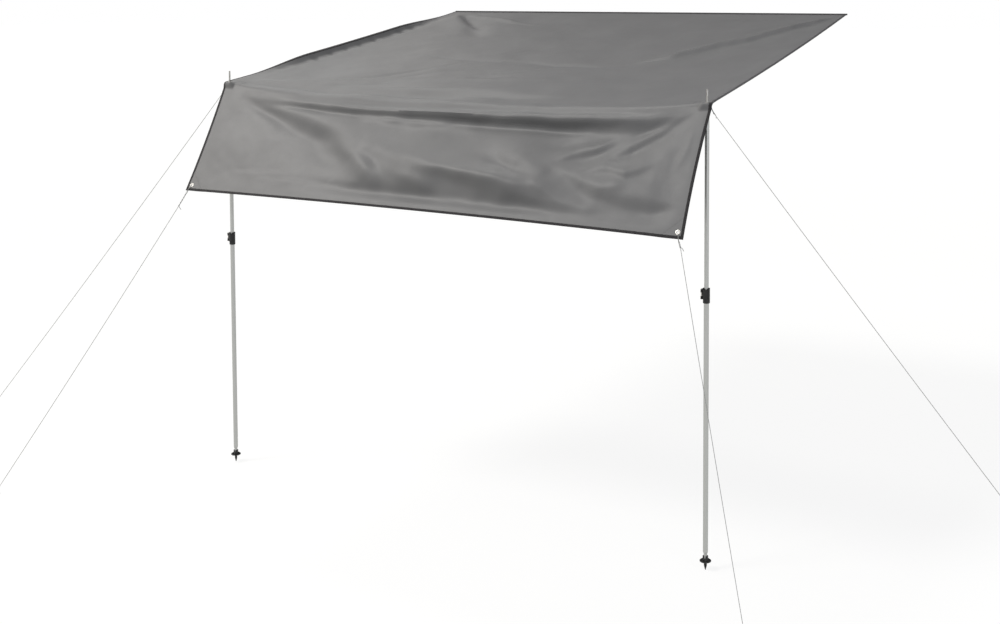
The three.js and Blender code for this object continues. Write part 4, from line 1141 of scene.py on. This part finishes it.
# %% [markdown]
# Patches of a second layer spread the pull of the eyelets: a square one under each pole and a triangle
# on the face of each flap corner, let in under the bindings and sewn round.

# %% Sew on the patches
patch_leg = 84 * MM
patch_thickness = 0.6 * MM
patch_height = cloth_thickness / 2 + 0.05 * MM + patch_thickness / 2
patch_outer = patch_height + patch_thickness / 2
patch_margin = 4 * MM
patch_top = roof_length - 51 * MM
patch_bottom = roof_length + roll_at_pole
outer, inner = half_sheet - binding_width - seat_gap, half_sheet - binding_width - patch_leg
hem = sheet_end - binding_width - seat_gap
top, bottom = patch_top + patch_margin, patch_bottom - patch_margin / 2
slant = patch_margin * 1.4
from_tape = 2 * MM
patch_seams = []
for k, (sign, side) in enumerate(both_sides):
    square = flat_piece(f"pole_patch_{side}", 42, 32, sorted((sign * outer, sign * inner)),
                        (patch_top, patch_bottom), patch_thickness)
    smooth(hang(punched(square, [ridge_eyelets[k]]), -patch_height), 60)
    dressed(square, "canopy", "patch_fabric", coated, f"ridge_patch_{side}")
    left, right = sign * (outer - patch_margin), sign * (inner + patch_margin)
    route = [(left, top), (right, top), (right, bottom), (left, bottom)]
    patch_seams += [(*ends, -patch_outer, cloth_thickness / 2) for ends in zip(route[:-1], route[1:])]
    corner = flat_piece(f"flap_patch_{side}", 36, 36, (0, 1), (0, 1), patch_thickness)
    for vertex in corner.data.vertices:
        u, v = vertex.co.x, vertex.co.y
        vertex.co.x = sign * (outer - patch_leg * u * v)
        vertex.co.y = hem - patch_leg * (1 - v)
    closed_up(corner)
    smooth(hang(punched(corner, [corner_eyelets[k]]), patch_height), 60)
    dressed(corner, "canopy", "patch_fabric", coated, f"corner_patch_{side}")
    start = (sign * (outer - from_tape), hem - patch_leg + from_tape + slant)
    end = (sign * (outer - patch_leg + slant + from_tape), hem - from_tape)
    patch_seams.append((start, end, patch_outer, -cloth_thickness / 2))
sewn("patch_stitches", patch_seams)

# %% [markdown]
# The rear edge ends in a keder: a round cord sewn into a folded tape, thick enough not to slip out of
# the rail's slot. Its section is drawn once, a circle with two flags, and swept along the width.

# %% Make the keder
bead_radius = 3.5 * MM
keder_middle = bead_radius + 0.7 * MM
keder_thickness = 0.7 * MM
keder_cut = 75 * MM
keder_columns, keder_rows = 56, 120
roof_slope = math.atan2(roof_drop, pole_reach)
down_slope = np.array([0.0, -math.cos(roof_slope), -math.sin(roof_slope)])
off_slope = np.array([0.0, -math.sin(roof_slope), math.cos(roof_slope)])


def keder_section(u):
    """How far down the slope and how high off it the keder tape runs, for u from 0 to 1."""
    opening = math.asin(tape_height / keder_middle)
    flag = sheet_start - keder_middle * math.cos(opening)
    round_part = 2 * (math.pi - opening) * keder_middle
    reach = u * (2 * flag + round_part)
    turn = opening + np.clip((reach - flag) / keder_middle, 0, 2 * (math.pi - opening))
    straight = np.maximum(flag - reach, 0) + np.maximum(reach - flag - round_part, 0)
    return keder_middle * np.cos(turn) + straight, keder_middle * np.sin(turn)


def keder_place(u, v):
    """The section carried along the width, in the slope of the roof."""
    far, high = keder_section(u)
    across = (2 * v - 1) * canopy_width / 2
    return across[:, None] * np.array([1.0, 0, 0]) + far[:, None] * down_slope + high[:, None] * off_slope


keder = mapped_grid("keder_welt", keder_columns, keder_rows, keder_place,
                    lambda u, v: (u * keder_cut, v * canopy_width))
add_modifier(keder, "SOLIDIFY", thickness=keder_thickness, offset=0)
smooth(closed_up(keder), 50)
dressed(keder, "canopy", "binding_tape", webbing, "keder_tape")

# %% [markdown]
# The cord inside is soft black PVC. It comes out of a die, which leaves faint lines along it, and its cut
# ends are a little rounded.

# %% Run the cord through the keder
keder_pvc, shader = new_material("extruded soft PVC, black", "2a2a2b", 0.4)
pvc_place = add_node(keder_pvc, "TexCoord").outputs["Object"]
die_lines = add_node(keder_pvc, "Mapping", {"Vector": pvc_place, "Scale": (4.0, 1500.0, 1500.0)})
streaks = add_node(keder_pvc, "TexNoise", {"Vector": die_lines.outputs["Vector"]})
add_node(keder_pvc, "Bump", {"Height": streaks.outputs["Fac"], "Strength": 0.2, "Distance": 0.05 * MM},
         shader.inputs["Normal"])
bead_end, rounded = canopy_width / 2, 0.4 * MM
bead_route = [(x, 0, 0) for x in (-bead_end, -bead_end + rounded, 0, bead_end - rounded, bead_end)]
bead = tube_along("keder_bead_cord", bead_route, np.array([2.9, 3.5, 3.5, 3.5, 2.9]) * MM, 28)
dressed(bead, "canopy", "keder_cord", keder_pvc, "keder_bead")

# %% [markdown]
# An eyelet is pressed from sheet metal: a flange with a rolled rim and a barrel whose end is curled over
# a washer on the other side. Both are turned forms. Turning is done here as by hand: a circle is
# extruded and scaled along the profile, step by step, and the last ring is welded to the first.

# %% Make the helper that turns a profile
def turned(name, profile, sides=56):
    """A form turned about Z from [radius, height] pairs, closed on itself or with flat ends."""
    profile = [point for point in profile if point[0] > 0.01 * MM]
    nothing_selected()
    bpy.ops.mesh.primitive_circle_add(vertices=sides, radius=profile[0][0])
    piece = named(name)
    all_points()
    bpy.ops.transform.translate(value=(0, 0, profile[0][1]))
    for (radius, height), (wider, higher) in zip(profile[:-1], profile[1:]):
        bpy.ops.mesh.extrude_region_move(TRANSFORM_OT_translate={"value": (0, 0, higher - height)})
        ratio = wider / radius
        bpy.ops.transform.resize(value=(ratio, ratio, 1), center_override=(0, 0, higher))
    bpy.ops.object.mode_set(mode="OBJECT")
    return closed_up(piece)


def bevelled(piece, width, segments=2, degrees=35):
    """Rounds the sharp edges of a finished form."""
    add_modifier(piece, "BEVEL", width=width, segments=segments, limit_method="ANGLE",
                 angle_limit=math.radians(degrees), use_clamp_overlap=True)
    return smooth(piece, 40)


def arc(centre, radius, start, end, steps):
    """Points of a profile on an arc, its angles in degrees."""
    turns = np.radians(np.linspace(start, end, steps))
    return [(centre[0] + radius * math.cos(t), centre[1] + radius * math.sin(t)) for t in turns]


print("a quarter of a circle in 30 degree steps has", len(arc((0, 0), 1, 0, 90, 4)), "points")

# %% [markdown]
# On a pole the eyelet's flange sits on the sheet and the washer under the patch below it. On the flap
# the patch lies on the face, so the flange sits on the patch and the washer behind the sheet.

# %% Press the eyelets
eyelet_bore = 6 * MM
eyelet_rim = 10.5 * MM
sheet_metal = 0.45 * MM
rim_round, dome, lip_round, curl_round, washer_round = 0.55 * MM, 1.25 * MM, 0.9 * MM, 1.1 * MM, 0.35 * MM


def frame_of(eyelet):
    """The matrix that lays a form turned about Z in its place in the cloth."""
    turn = Vector((0, 0, 1)).rotation_difference(Vector(eyelet["axis"]))
    return Matrix.Translation(eyelet["centre"]) @ turn.to_matrix().to_4x4()


def eyelet_pair(name, eyelet, top, bottom, *nodes):
    """A flanged barrel that sits on the height top, and the washer under the height bottom."""
    outside = eyelet_bore + sheet_metal
    profile = [(outside, bottom - 0.7 * MM), (outside, top), (eyelet_rim, top)]
    profile += arc((eyelet_rim - rim_round, top + rim_round), rim_round, -30, 90, 6)
    profile += [(eyelet_bore + 2.2 * MM, top + dome), (eyelet_bore + 1.1 * MM, top + dome * 0.94)]
    profile += arc((eyelet_bore + lip_round, top + 0.25 * MM), lip_round, 100, 180, 6)
    profile += arc((eyelet_bore + curl_round, bottom - 0.9 * MM), curl_round, 180, 340, 9)
    profile += [(eyelet_bore + 1.9 * MM, bottom - 0.75 * MM), profile[0]]
    inside, upper, lower = eyelet_bore + 1.6 * MM, bottom - 0.02 * MM, bottom - 0.66 * MM
    washer = [(inside, upper), (eyelet_rim, upper)]
    washer += arc((eyelet_rim - washer_round, upper - washer_round), washer_round, 0, -90, 4)
    washer += [(inside, lower), (inside, upper)]
    for piece, node in zip((turned(name, profile, 48), turned(name + "_washer", washer, 48)), nodes):
        piece.data.transform(frame_of(eyelet))
        dressed(smooth(piece, 40), "canopy", "eyelet_metal", nickel, node)


for k, (_, side) in enumerate(both_sides):
    eyelet_pair(f"pole_eyelet_{side}", ridge_eyelets[k], cloth_thickness / 2, -patch_outer,
                f"ridge_eyelet_{side}", f"ridge_washer_{side}")
    eyelet_pair(f"flap_eyelet_{side}", corner_eyelets[k], patch_outer, -cloth_thickness / 2,
                f"corner_eyelet_{side}", f"corner_washer_{side}")

# %% [markdown]
# ## The poles
# Each pole is a tube in a tube. The lower one is swaged, pressed narrower, where it enters the foot. The
# pieces are modelled standing on zero and straight up; at the end each is copied for the left and the
# right pole, and each copy's mesh is moved and leaned to where its solid stands.

# %% Turn the tubes
lower_radius = 11 * MM
upper_radius = 9.5 * MM
tube_wall = 1 * MM
swage_radius = 7.5 * MM
swage_top = 70.3 * MM
taper = 15 * MM
tube_foot = 44.3 * MM
clamp_bottom = 1181 * MM
clamp_socket = 40 * MM
upper_overlap = 120 * MM
foot_out, foot_forward = 50 * MM, 35 * MM
pole_drop = rail_height - roof_drop - loop_drop
pole_length = float(np.linalg.norm([foot_out, foot_forward, pole_drop]))
plug_seat = -(cord_radius + seat_gap + 2.8 * MM)
plug_flange = 8.5 * MM
plug_shoulder = plug_seat - plug_flange


def pole_tube(name, outside):
    """A tube from the profile of its outside."""
    inside = [(radius - tube_wall, height) for radius, height in reversed(outside)]
    return smooth(turned(name, outside + inside + outside[:1], 64), 35)


taper_up = [(swage_radius + (lower_radius - swage_radius) * float(eased(share)), swage_top + taper * share)
            for share in np.linspace(0, 1, 9)]
lower_top = clamp_bottom + clamp_socket - seat_gap
lower_tube = pole_tube("lower_pole_tube",
                       [(swage_radius, tube_foot)] + taper_up + [(lower_radius, lower_top)])
upper_bottom = clamp_bottom + clamp_socket - upper_overlap
upper_top = pole_length + plug_shoulder - seat_gap
upper_tube = pole_tube("upper_pole_tube", [(upper_radius, upper_bottom), (upper_radius, upper_top)])
print("pole length:", round(pole_length, 4))

# %% [markdown]
# The foot is one nylon moulding: a cross-shaped spike that goes into the ground, a round plate that
# stops it, eight ribs and a socket with a notch. Its parts are joined and cut by Boolean modifiers, and
# a small bevel gives the edges the radius that every moulding has.

# %% Make the helpers for mouldings
def block(x, y, z):
    """A box between two values on each axis."""
    nothing_selected()
    bpy.ops.mesh.primitive_cube_add(size=1)
    return spanning(bpy.context.object, x, y, z)


def edit_faces(piece, test):
    """Enters edit mode with only the faces selected whose centre and normal pass the test."""
    only(piece)
    for element in [*piece.data.vertices, *piece.data.edges]:
        element.select = False
    for face in piece.data.polygons:
        face.select = test(face.center, face.normal)
    bpy.ops.object.mode_set(mode="EDIT")
    bpy.ops.mesh.select_mode(type="FACE")


# %% [markdown]
# Each of the spike's two fins is a block whose lower end is narrowed and drawn out to a point. Each rib
# is a block whose outer end is lowered and whose top is a little domed.

# %% Mould the foot's spike and ribs
spike_length = 40 * MM
spike_width = 14 * MM
fin_thickness = 3 * MM
disc_radius = 25 * MM
disc_top = 44 * MM
disc_edge = 0.8 * MM
rib_count = 8
rib_height = 9 * MM
half_rib = 0.9 * MM

foot_parts = []
for turn in (0, math.pi / 2):
    fin = block((-spike_width / 2, spike_width / 2), (-fin_thickness / 2, fin_thickness / 2),
                (spike_length / 2, spike_length + 1 * MM))
    edit_faces(fin, lambda centre, normal: normal.z < -0.9)
    bpy.ops.transform.resize(value=(0.92, 1, 1), center_override=(0, 0, spike_length / 2))
    bpy.ops.mesh.extrude_region_move(TRANSFORM_OT_translate={"value": (0, 0, -spike_length / 2)})
    bpy.ops.transform.resize(value=(0.2, 0.5, 1), center_override=(0, 0, 0))
    bpy.ops.object.mode_set(mode="OBJECT")
    fin.data.transform(Matrix.Rotation(turn, 4, "Z"))
    foot_parts.append(fin)
for k in range(rib_count):
    rib = block((10 * MM, 23.4 * MM), (-half_rib, half_rib), (disc_top - disc_edge, disc_top + rib_height))
    for vertex in rib.data.vertices:
        if vertex.co.x > 20 * MM and vertex.co.z > disc_top:
            vertex.co.z = disc_top + 1.2 * MM
    edit_faces(rib, lambda centre, normal: normal.z > 0.3)
    bpy.ops.mesh.inset(thickness=0.35 * MM)
    bpy.ops.transform.translate(value=(0, 0, 0.15 * MM))
    bpy.ops.object.mode_set(mode="OBJECT")
    rib.data.transform(Matrix.Rotation((k + 0.5) * math.tau / rib_count, 4, "Z"))
    foot_parts.append(rib)
print("parts of the foot:", len(foot_parts))

# %% [markdown]
# The plate and socket are turned, the parts are joined to them, and then the bore for the tube and the
# round-ended notch in the socket's front are cut away.

# %% Mould the foot
socket_radius = 12 * MM
socket_top = 64 * MM
notch_width = 9 * MM
notch_depth = 11 * MM

foot = turned("foot_moulding", [
    (0, spike_length), (disc_radius - disc_edge, spike_length), (disc_radius, spike_length + disc_edge),
    (disc_radius, disc_top - disc_edge), (disc_radius - disc_edge, disc_top), (socket_radius, disc_top),
    (socket_radius, socket_top), (0, socket_top)], 64)
combined(foot, foot_parts)
notch_round = socket_top - notch_depth + notch_width / 2
front = socket_radius + 2 * MM
combined(foot, [
    rod(swage_radius + seat_gap, disc_top, socket_top + 2 * MM, 56),
    block((-notch_width / 2, notch_width / 2), (-front, 0), (notch_round, socket_top + 2 * MM)),
    rod(notch_width / 2, -front, 0, 32, "Y", (0, 0, notch_round)),
], "DIFFERENCE")
bevelled(foot, 0.35 * MM, 2, 40)
print("foot faces:", len(foot.data.polygons))

# %% [markdown]
# The clamp collar holds the lower tube in its socket and squeezes the upper tube in a split neck. Above
# the neck is an open cup with a scalloped front. Two ears on the left carry the screw that the lever
# pulls: turned up, the lever's cam draws the ears together.

# %% Mould the clamp collar
clamp_height = 64 * MM
clamp_radius = lower_radius + seat_gap + 3.5 * MM
cup_radius = clamp_radius - 2 * MM
neck_top = clamp_socket + 14 * MM
half_slot = 1.2 * MM
ear_bottom, ear_top = 18 * MM, 60 * MM
ear_reach = 22.5 * MM
front_ear, back_ear = 3.8 * MM, 5 * MM
pin_out = 17.5 * MM
pin_height = (ear_bottom + ear_top) / 2
pin_front = half_slot + front_ear + seat_gap + 4.8 * MM
scallop_radius = 13 * MM
screw_radius = 1.8 * MM
collar_round = 2.6 * MM
past = 2 * MM

collar = turned("collar_moulding", [
    (0, 0), *arc((clamp_radius - collar_round, collar_round), collar_round, -90, 0, 8),
    (clamp_radius, clamp_height - 2.2 * MM), (clamp_radius + 0.7 * MM, clamp_height), (0, clamp_height)], 72)
combined(collar, [block((-ear_reach, -(cup_radius - 0.7 * MM)), thick, (ear_bottom, ear_top))
                  for thick in ((-half_slot - front_ear, -half_slot), (half_slot, half_slot + back_ear))])
# what is cut away runs past the edges, so that no skin is left
combined(collar, [
    rod(lower_radius + seat_gap, -past, clamp_socket, 64),
    rod(upper_radius + seat_gap, 0, clamp_height + past, 64),
    rod(cup_radius, neck_top, clamp_height + past, 64),
    block((-ear_reach - past, -upper_radius), (-half_slot, half_slot), (14 * MM, clamp_height + past)),
    rod(scallop_radius, -clamp_radius * 2, 0, 56, "Y", (0, 0, clamp_height - 6 * MM + scallop_radius)),
    rod(screw_radius + seat_gap, -ear_reach, ear_reach, 32, "Y", (-pin_out, 0, pin_height)),
], "DIFFERENCE")
bevelled(collar, 0.5 * MM, 3, 40)
print("collar faces:", len(collar.data.polygons))

# %% [markdown]
# The lever is a curved plate that wraps the collar's front when it is shut, with a lip for the thumb,
# on two knuckles that turn on the pin. A vertical strip is spun about the pole's axis to make the plate.

# %% Mould the lever
lever_inner = clamp_radius + 0.5 * MM
lever_outer = lever_inner + 2.6 * MM
barrel = 4.8 * MM
barrel_bore = 2.3 * MM
middle_space = 7.5 * MM
knuckle = 13 * MM
# where the plate and its lip begin and end, in shares of a turn from the right
plate_start, lip_start, plate_end = 0.572, 0.868, 0.9


def spun_plate(inner, outer, start, end, bottom, top, steps):
    """A strip from inner to outer radius, spun from one share of a turn to another."""
    nothing_selected()
    bpy.ops.mesh.primitive_plane_add(size=1)
    plate = bpy.context.object
    plate.data.transform(Matrix.Rotation(math.pi / 2, 4, "X"))
    spanning(plate, (inner, outer), (-0.5, 0.5), (bottom, top))
    plate.data.transform(Matrix.Rotation(start * math.tau, 4, "Z"))
    all_points()
    # with no window, spin turns the other way
    bpy.ops.mesh.spin(steps=steps, angle=(start - end) * math.tau, center=(0, 0, 0), axis=(0, 0, 1))
    bpy.ops.object.mode_set(mode="OBJECT")
    return closed_up(plate)


lever = spun_plate(lever_inner, lever_outer, plate_start, plate_end, ear_bottom, ear_top, 40)
lip = spun_plate(lever_outer - 1.3 * MM, lever_outer + 2.2 * MM, lip_start, plate_end, ear_bottom, ear_top, 6)
at_pin = (-pin_out, -pin_front, 0)
knuckles = [rod(barrel, z, z + knuckle, 40, "Z", at_pin) for z in (ear_bottom, ear_top - knuckle)]
combined(lever, [lip] + knuckles)
combined(lever, [rod(middle_space, ear_bottom + knuckle, ear_top - knuckle, 48, "Z", at_pin),
                 rod(barrel_bore, ear_bottom - past, ear_top + past, 32, "Z", at_pin)], "DIFFERENCE")
lever.name = lever.data.name = "lever_moulding"
bevelled(lever, 0.45 * MM, 3, 40)
print("lever faces:", len(lever.data.polygons))

# %% [markdown]
# The pin has a thick middle with a cross hole, into which the screw is driven from behind the ears. The
# screw has a head with a hexagon socket. Both are turned upright, then laid where they go in the clamp.

# %% Turn the pin and the screw
pin_radius, trunnion_radius, screw_head = 2 * MM, 3.4 * MM, 3.6 * MM
half_middle = (ear_top - ear_bottom - 2 * knuckle) / 2 - seat_gap
half_pin = (ear_top - ear_bottom) / 2
lower_half = [(0, -half_pin), (1.6 * MM, -half_pin), (pin_radius, -half_pin + 0.4 * MM),
              (pin_radius, -half_middle), (trunnion_radius, -half_middle)]
pin = turned("trunnion_pin", lower_half + [(radius, -height) for radius, height in reversed(lower_half)], 40)
combined(pin, [rod(screw_radius + seat_gap, -5 * MM, 5 * MM, 32, "Y")], "DIFFERENCE")
smooth(pin, 35)
pin.data.transform(Matrix.Translation((-pin_out, -pin_front, pin_height)))
head = half_slot + back_ear + seat_gap
screw_end = -(pin_front + trunnion_radius + 0.9 * MM)
screw = turned("socket_screw", [
    (0, screw_end), (1.3 * MM, screw_end), (screw_radius, screw_end + 0.5 * MM), (screw_radius, head),
    (screw_head, head), (screw_head, head + 1.5 * MM), (2.9 * MM, head + 2.2 * MM), (0, head + 2.2 * MM)], 40)
combined(screw, [rod(1.5 * MM, head + 0.8 * MM, head + 4 * MM, 6)], "DIFFERENCE")
smooth(screw, 35)
screw.data.transform(Matrix.Rotation(-math.pi / 2, 4, "X"))
screw.data.transform(Matrix.Translation((-pin_out, 0, pin_height)))
print("screw length:", round(head + 2.2 * MM - screw_end, 4))

# %% [markdown]
# The top plug is coned, so that the pole can lean a little under the eyelet, and holds a plated spike
# with a rounded tip.

# %% Turn the plug and the spike
plug_bore = 4.3 * MM
bore_bottom = -27.3 * MM
spigot = upper_radius - tube_wall - seat_gap
spigot_length = 30 * MM
cone_top = -1.5 * MM
spike_radius, spike_bottom, spike_shoulder, tip_height = 4 * MM, -27 * MM, 57 * MM, 3 * MM

plug = turned("plug_moulding", [
    (0, plug_shoulder - spigot_length), (spigot - 1 * MM, plug_shoulder - spigot_length),
    (spigot, plug_shoulder - 28 * MM), (spigot, plug_shoulder),
    (upper_radius, plug_shoulder), (upper_radius, plug_seat - 1.2 * MM),
    (upper_radius - 0.4 * MM, plug_seat - 0.3 * MM), (upper_radius - 1.3 * MM, plug_seat + 0.3 * MM),
    (plug_bore, cone_top), (plug_bore, bore_bottom), (0, bore_bottom)], 56)
smooth(plug, 35)
round_tip = [(spike_radius * math.cos(t), spike_shoulder + tip_height * math.sin(t))
             for t in np.linspace(0, math.pi / 2, 8)]
spike = turned("plated_spike", [(0, spike_bottom), (spike_radius, spike_bottom)] + round_tip, 40)
smooth(spike, 35)
print("spike above the pivot:", spike_shoulder + tip_height)

# %% [markdown]
# Everything on a pole is now copied for both sides. The pieces that stand on the ground are measured
# from the foot's tip, the clamp's from its lower end, and the plug and spike from the pole's pivot.

# %% Stand up both poles
# Each model with its body, its solid, the height it is measured from and its finish
black, bare, bright = ("black_plastic", nylon), ("pole_tube", anodised), ("bright_steel", nickel)
models = [
    (lower_tube, "lower_pole", "lower_tube", 0, bare),
    (foot, "lower_pole", "foot", 0, black),
    (collar, "lower_pole", "clamp_collar", clamp_bottom, black),
    (lever, "lever", "clamp_lever", clamp_bottom, black),
    (pin, "lower_pole", "lever_pin", clamp_bottom, bright),
    (screw, "lower_pole", "clamp_screw", clamp_bottom, bright),
    (upper_tube, "upper_pole", "upper_tube", 0, bare),
    (plug, "upper_pole", "top_plug", pole_length, black),
    (spike, "upper_pole", "top_spike", pole_length, bright),
]
for (sign, side), top in zip(both_sides, pole_tops):
    tip = Vector((top[0] + sign * foot_out, top[1] - foot_forward, -rail_height))
    lean = Vector((0, 0, 1)).rotation_difference(Vector(top) - tip).to_matrix().to_4x4()
    for model, body, solid, start, (finish, material) in models:
        piece = model.copy()
        piece.data = model.data.copy()
        piece.name = piece.data.name = f"{model.name}_{side}"
        bpy.context.scene.collection.objects.link(piece)
        rise = Matrix.Translation((0, 0, start - pole_length))
        piece.data.transform(Matrix.Translation(top) @ lean @ rise)
        dressed(piece, f"{body}_{side}", finish, material, f"{solid}_{side}")
    bush_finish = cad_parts[f"slide_bush_{side}"].data.materials
    bush_finish.clear()
    bush_finish.append(nylon)
for model, *_ in models:
    bpy.data.objects.remove(model)

# %% [markdown]
# ## Floor and light
# The photograph has a plain white ground that runs on past the picture. The floor is a matt sheet that
# adds white for camera, glossy and transmission rays only, so it looks white in the picture and in the
# tubes, yet gives the canopy no more light than a grey floor would, and it keeps the shadow.

# %% Lay the floor
def white_to_the_eye(material):
    """1 for camera, glossy and transmission rays, 0 for the rays that carry light."""
    rays = add_node(material, "LightPath")
    seen = rays.outputs["Is Camera Ray"]
    for kind in ("Is Glossy Ray", "Is Transmission Ray"):
        seen = add_node(material, "Math", {0: seen, 1: rays.outputs[kind]}, operation="MAXIMUM").outputs[0]
    return seen


floor_size, floor_white = 160, 0.88
nothing_selected()
bpy.ops.mesh.primitive_grid_add(x_subdivisions=2, y_subdivisions=2, size=floor_size)
floor = named("floor")
floor.data.transform(Matrix.Translation((0, 0, -rail_height)))
floor_paint, shader = new_material("matt studio floor", "7c7c7a", 0.9, Specular_IOR_Level=0.1)
add_node(floor_paint, "Math", {0: white_to_the_eye(floor_paint), 1: floor_white},
         shader.inputs["Emission Strength"], operation="MULTIPLY")
shader.inputs["Emission Color"].default_value = (1, 1, 1, 1)
floor.data.materials.append(floor_paint)

# %% [markdown]
# The roof is seen at a very flat angle, so it mirrors whatever stands behind it. In the photograph it is
# dark and cool towards the right: a studio would hang a dark net there, just out of the camera's sight,
# that thins out towards the left, and so does this one.

# %% Hang a net behind the right side
net_width, net_height, net_place = 12.6, 3.9, (0.9, 2.8, 2.07)
net_begins, net_full = -5.4, -2.1
nothing_selected()
bpy.ops.mesh.primitive_plane_add(size=1)
net = named("net")
net.data.transform(Matrix.Diagonal((net_width, net_height, 1, 1)))
net.data.transform(Matrix.Rotation(math.pi / 2, 4, "X"))
net.data.transform(Matrix.Translation(net_place))
net_cloth, shader = new_material("dark studio net", "1e213c", 0.9, Specular_IOR_Level=0.1)
net_point = add_node(net_cloth, "TexCoord").outputs["Object"]
net_across = add_node(net_cloth, "SeparateXYZ", {"Vector": net_point}).outputs["X"]
net_density = add_node(net_cloth, "MapRange",
                       {"Value": net_across, "From Min": net_begins, "From Max": net_full},
                       interpolation_type="SMOOTHSTEP")
gaps = add_node(net_cloth, "BsdfTransparent")
add_node(net_cloth, "MixShader",
         {0: net_density.outputs["Result"], 1: gaps.outputs["BSDF"], 2: shader.outputs["BSDF"]},
         net_cloth.node_tree.nodes["Material Output"].inputs["Surface"])
net.data.materials.append(net_cloth)
net.visible_camera = False
net.visible_shadow = False

# %% [markdown]
# A soft sun stands high at the left front, and every flank that turns down goes dark. A wide soft box at
# the left front gives the flap its satin shine, a faint sun from above draws the roll along the ridge, a
# weak lamp behind the left corner shines over the roof, and one at the right front lifts the right side.

# %% Hang the lights
suns = [
    # name, place, spread in degrees, strength
    ("key", (-5, -4.5, 7.8), 15, 1.15),
    ("top", (-4, 3.4, 8.5), 10, 0.35),
]
soft_lights = [
    # name, place, what it is aimed at, size in metres, power in watts, tint
    ("box", (-3.4, -4.1, 1.9), (-0.8, -2.35, -0.6), 3.2, 55, "fffaf5"),
    ("back", (-3.8, 3.8, 1.3), (-0.3, -1.2, -0.2), 2.2, 8, "ffeedb"),
    ("fill", (6.0, -5.0, 1.2), (0.8, -1.0, -0.2), 2.0, 45, "d8e2ff"),
]


def aimed(name, lamp, place, target, power, tint):
    """Hangs a lamp at a place so that it shines at its target."""
    lamp.energy = power
    lamp.color = colour(tint)[:3]
    holder = bpy.data.objects.new(name, lamp)
    holder.location = place
    holder.rotation_euler = (Vector(target) - Vector(place)).to_track_quat("-Z", "Y").to_euler()
    bpy.context.scene.collection.objects.link(holder)
    print("light:", name)


for name, place, spread, power in suns:
    lamp = bpy.data.lights.new(name, "SUN")
    lamp.angle = math.radians(spread)
    aimed(name, lamp, place, (0, 0, 0), power, "fffdfa")
for name, place, target, size, power, tint in soft_lights:
    lamp = bpy.data.lights.new(name, "AREA")
    lamp.shape = "DISK"
    lamp.size = size
    aimed(name, lamp, place, target, power, tint)

# %% [markdown]
# The sky works like the floor: white to the eye, and weak as a light, so that the shadows stay dark.

# %% Light the sky
sky_light, sky_white = 0.14, 1.0
world = bpy.data.worlds.new("studio")
bpy.context.scene.world = world
world.use_nodes = True
sky = world.node_tree.nodes["Background"]
sky.inputs["Color"].default_value = (1, 1, 1, 1)
add_node(world, "MapRange", {"Value": white_to_the_eye(world), "To Min": sky_light, "To Max": sky_white},
         sky.inputs["Strength"])
bpy.context.scene.view_settings.view_transform = "Standard"
print("sky:", sky_light, "as a light,", sky_white, "to the eye")
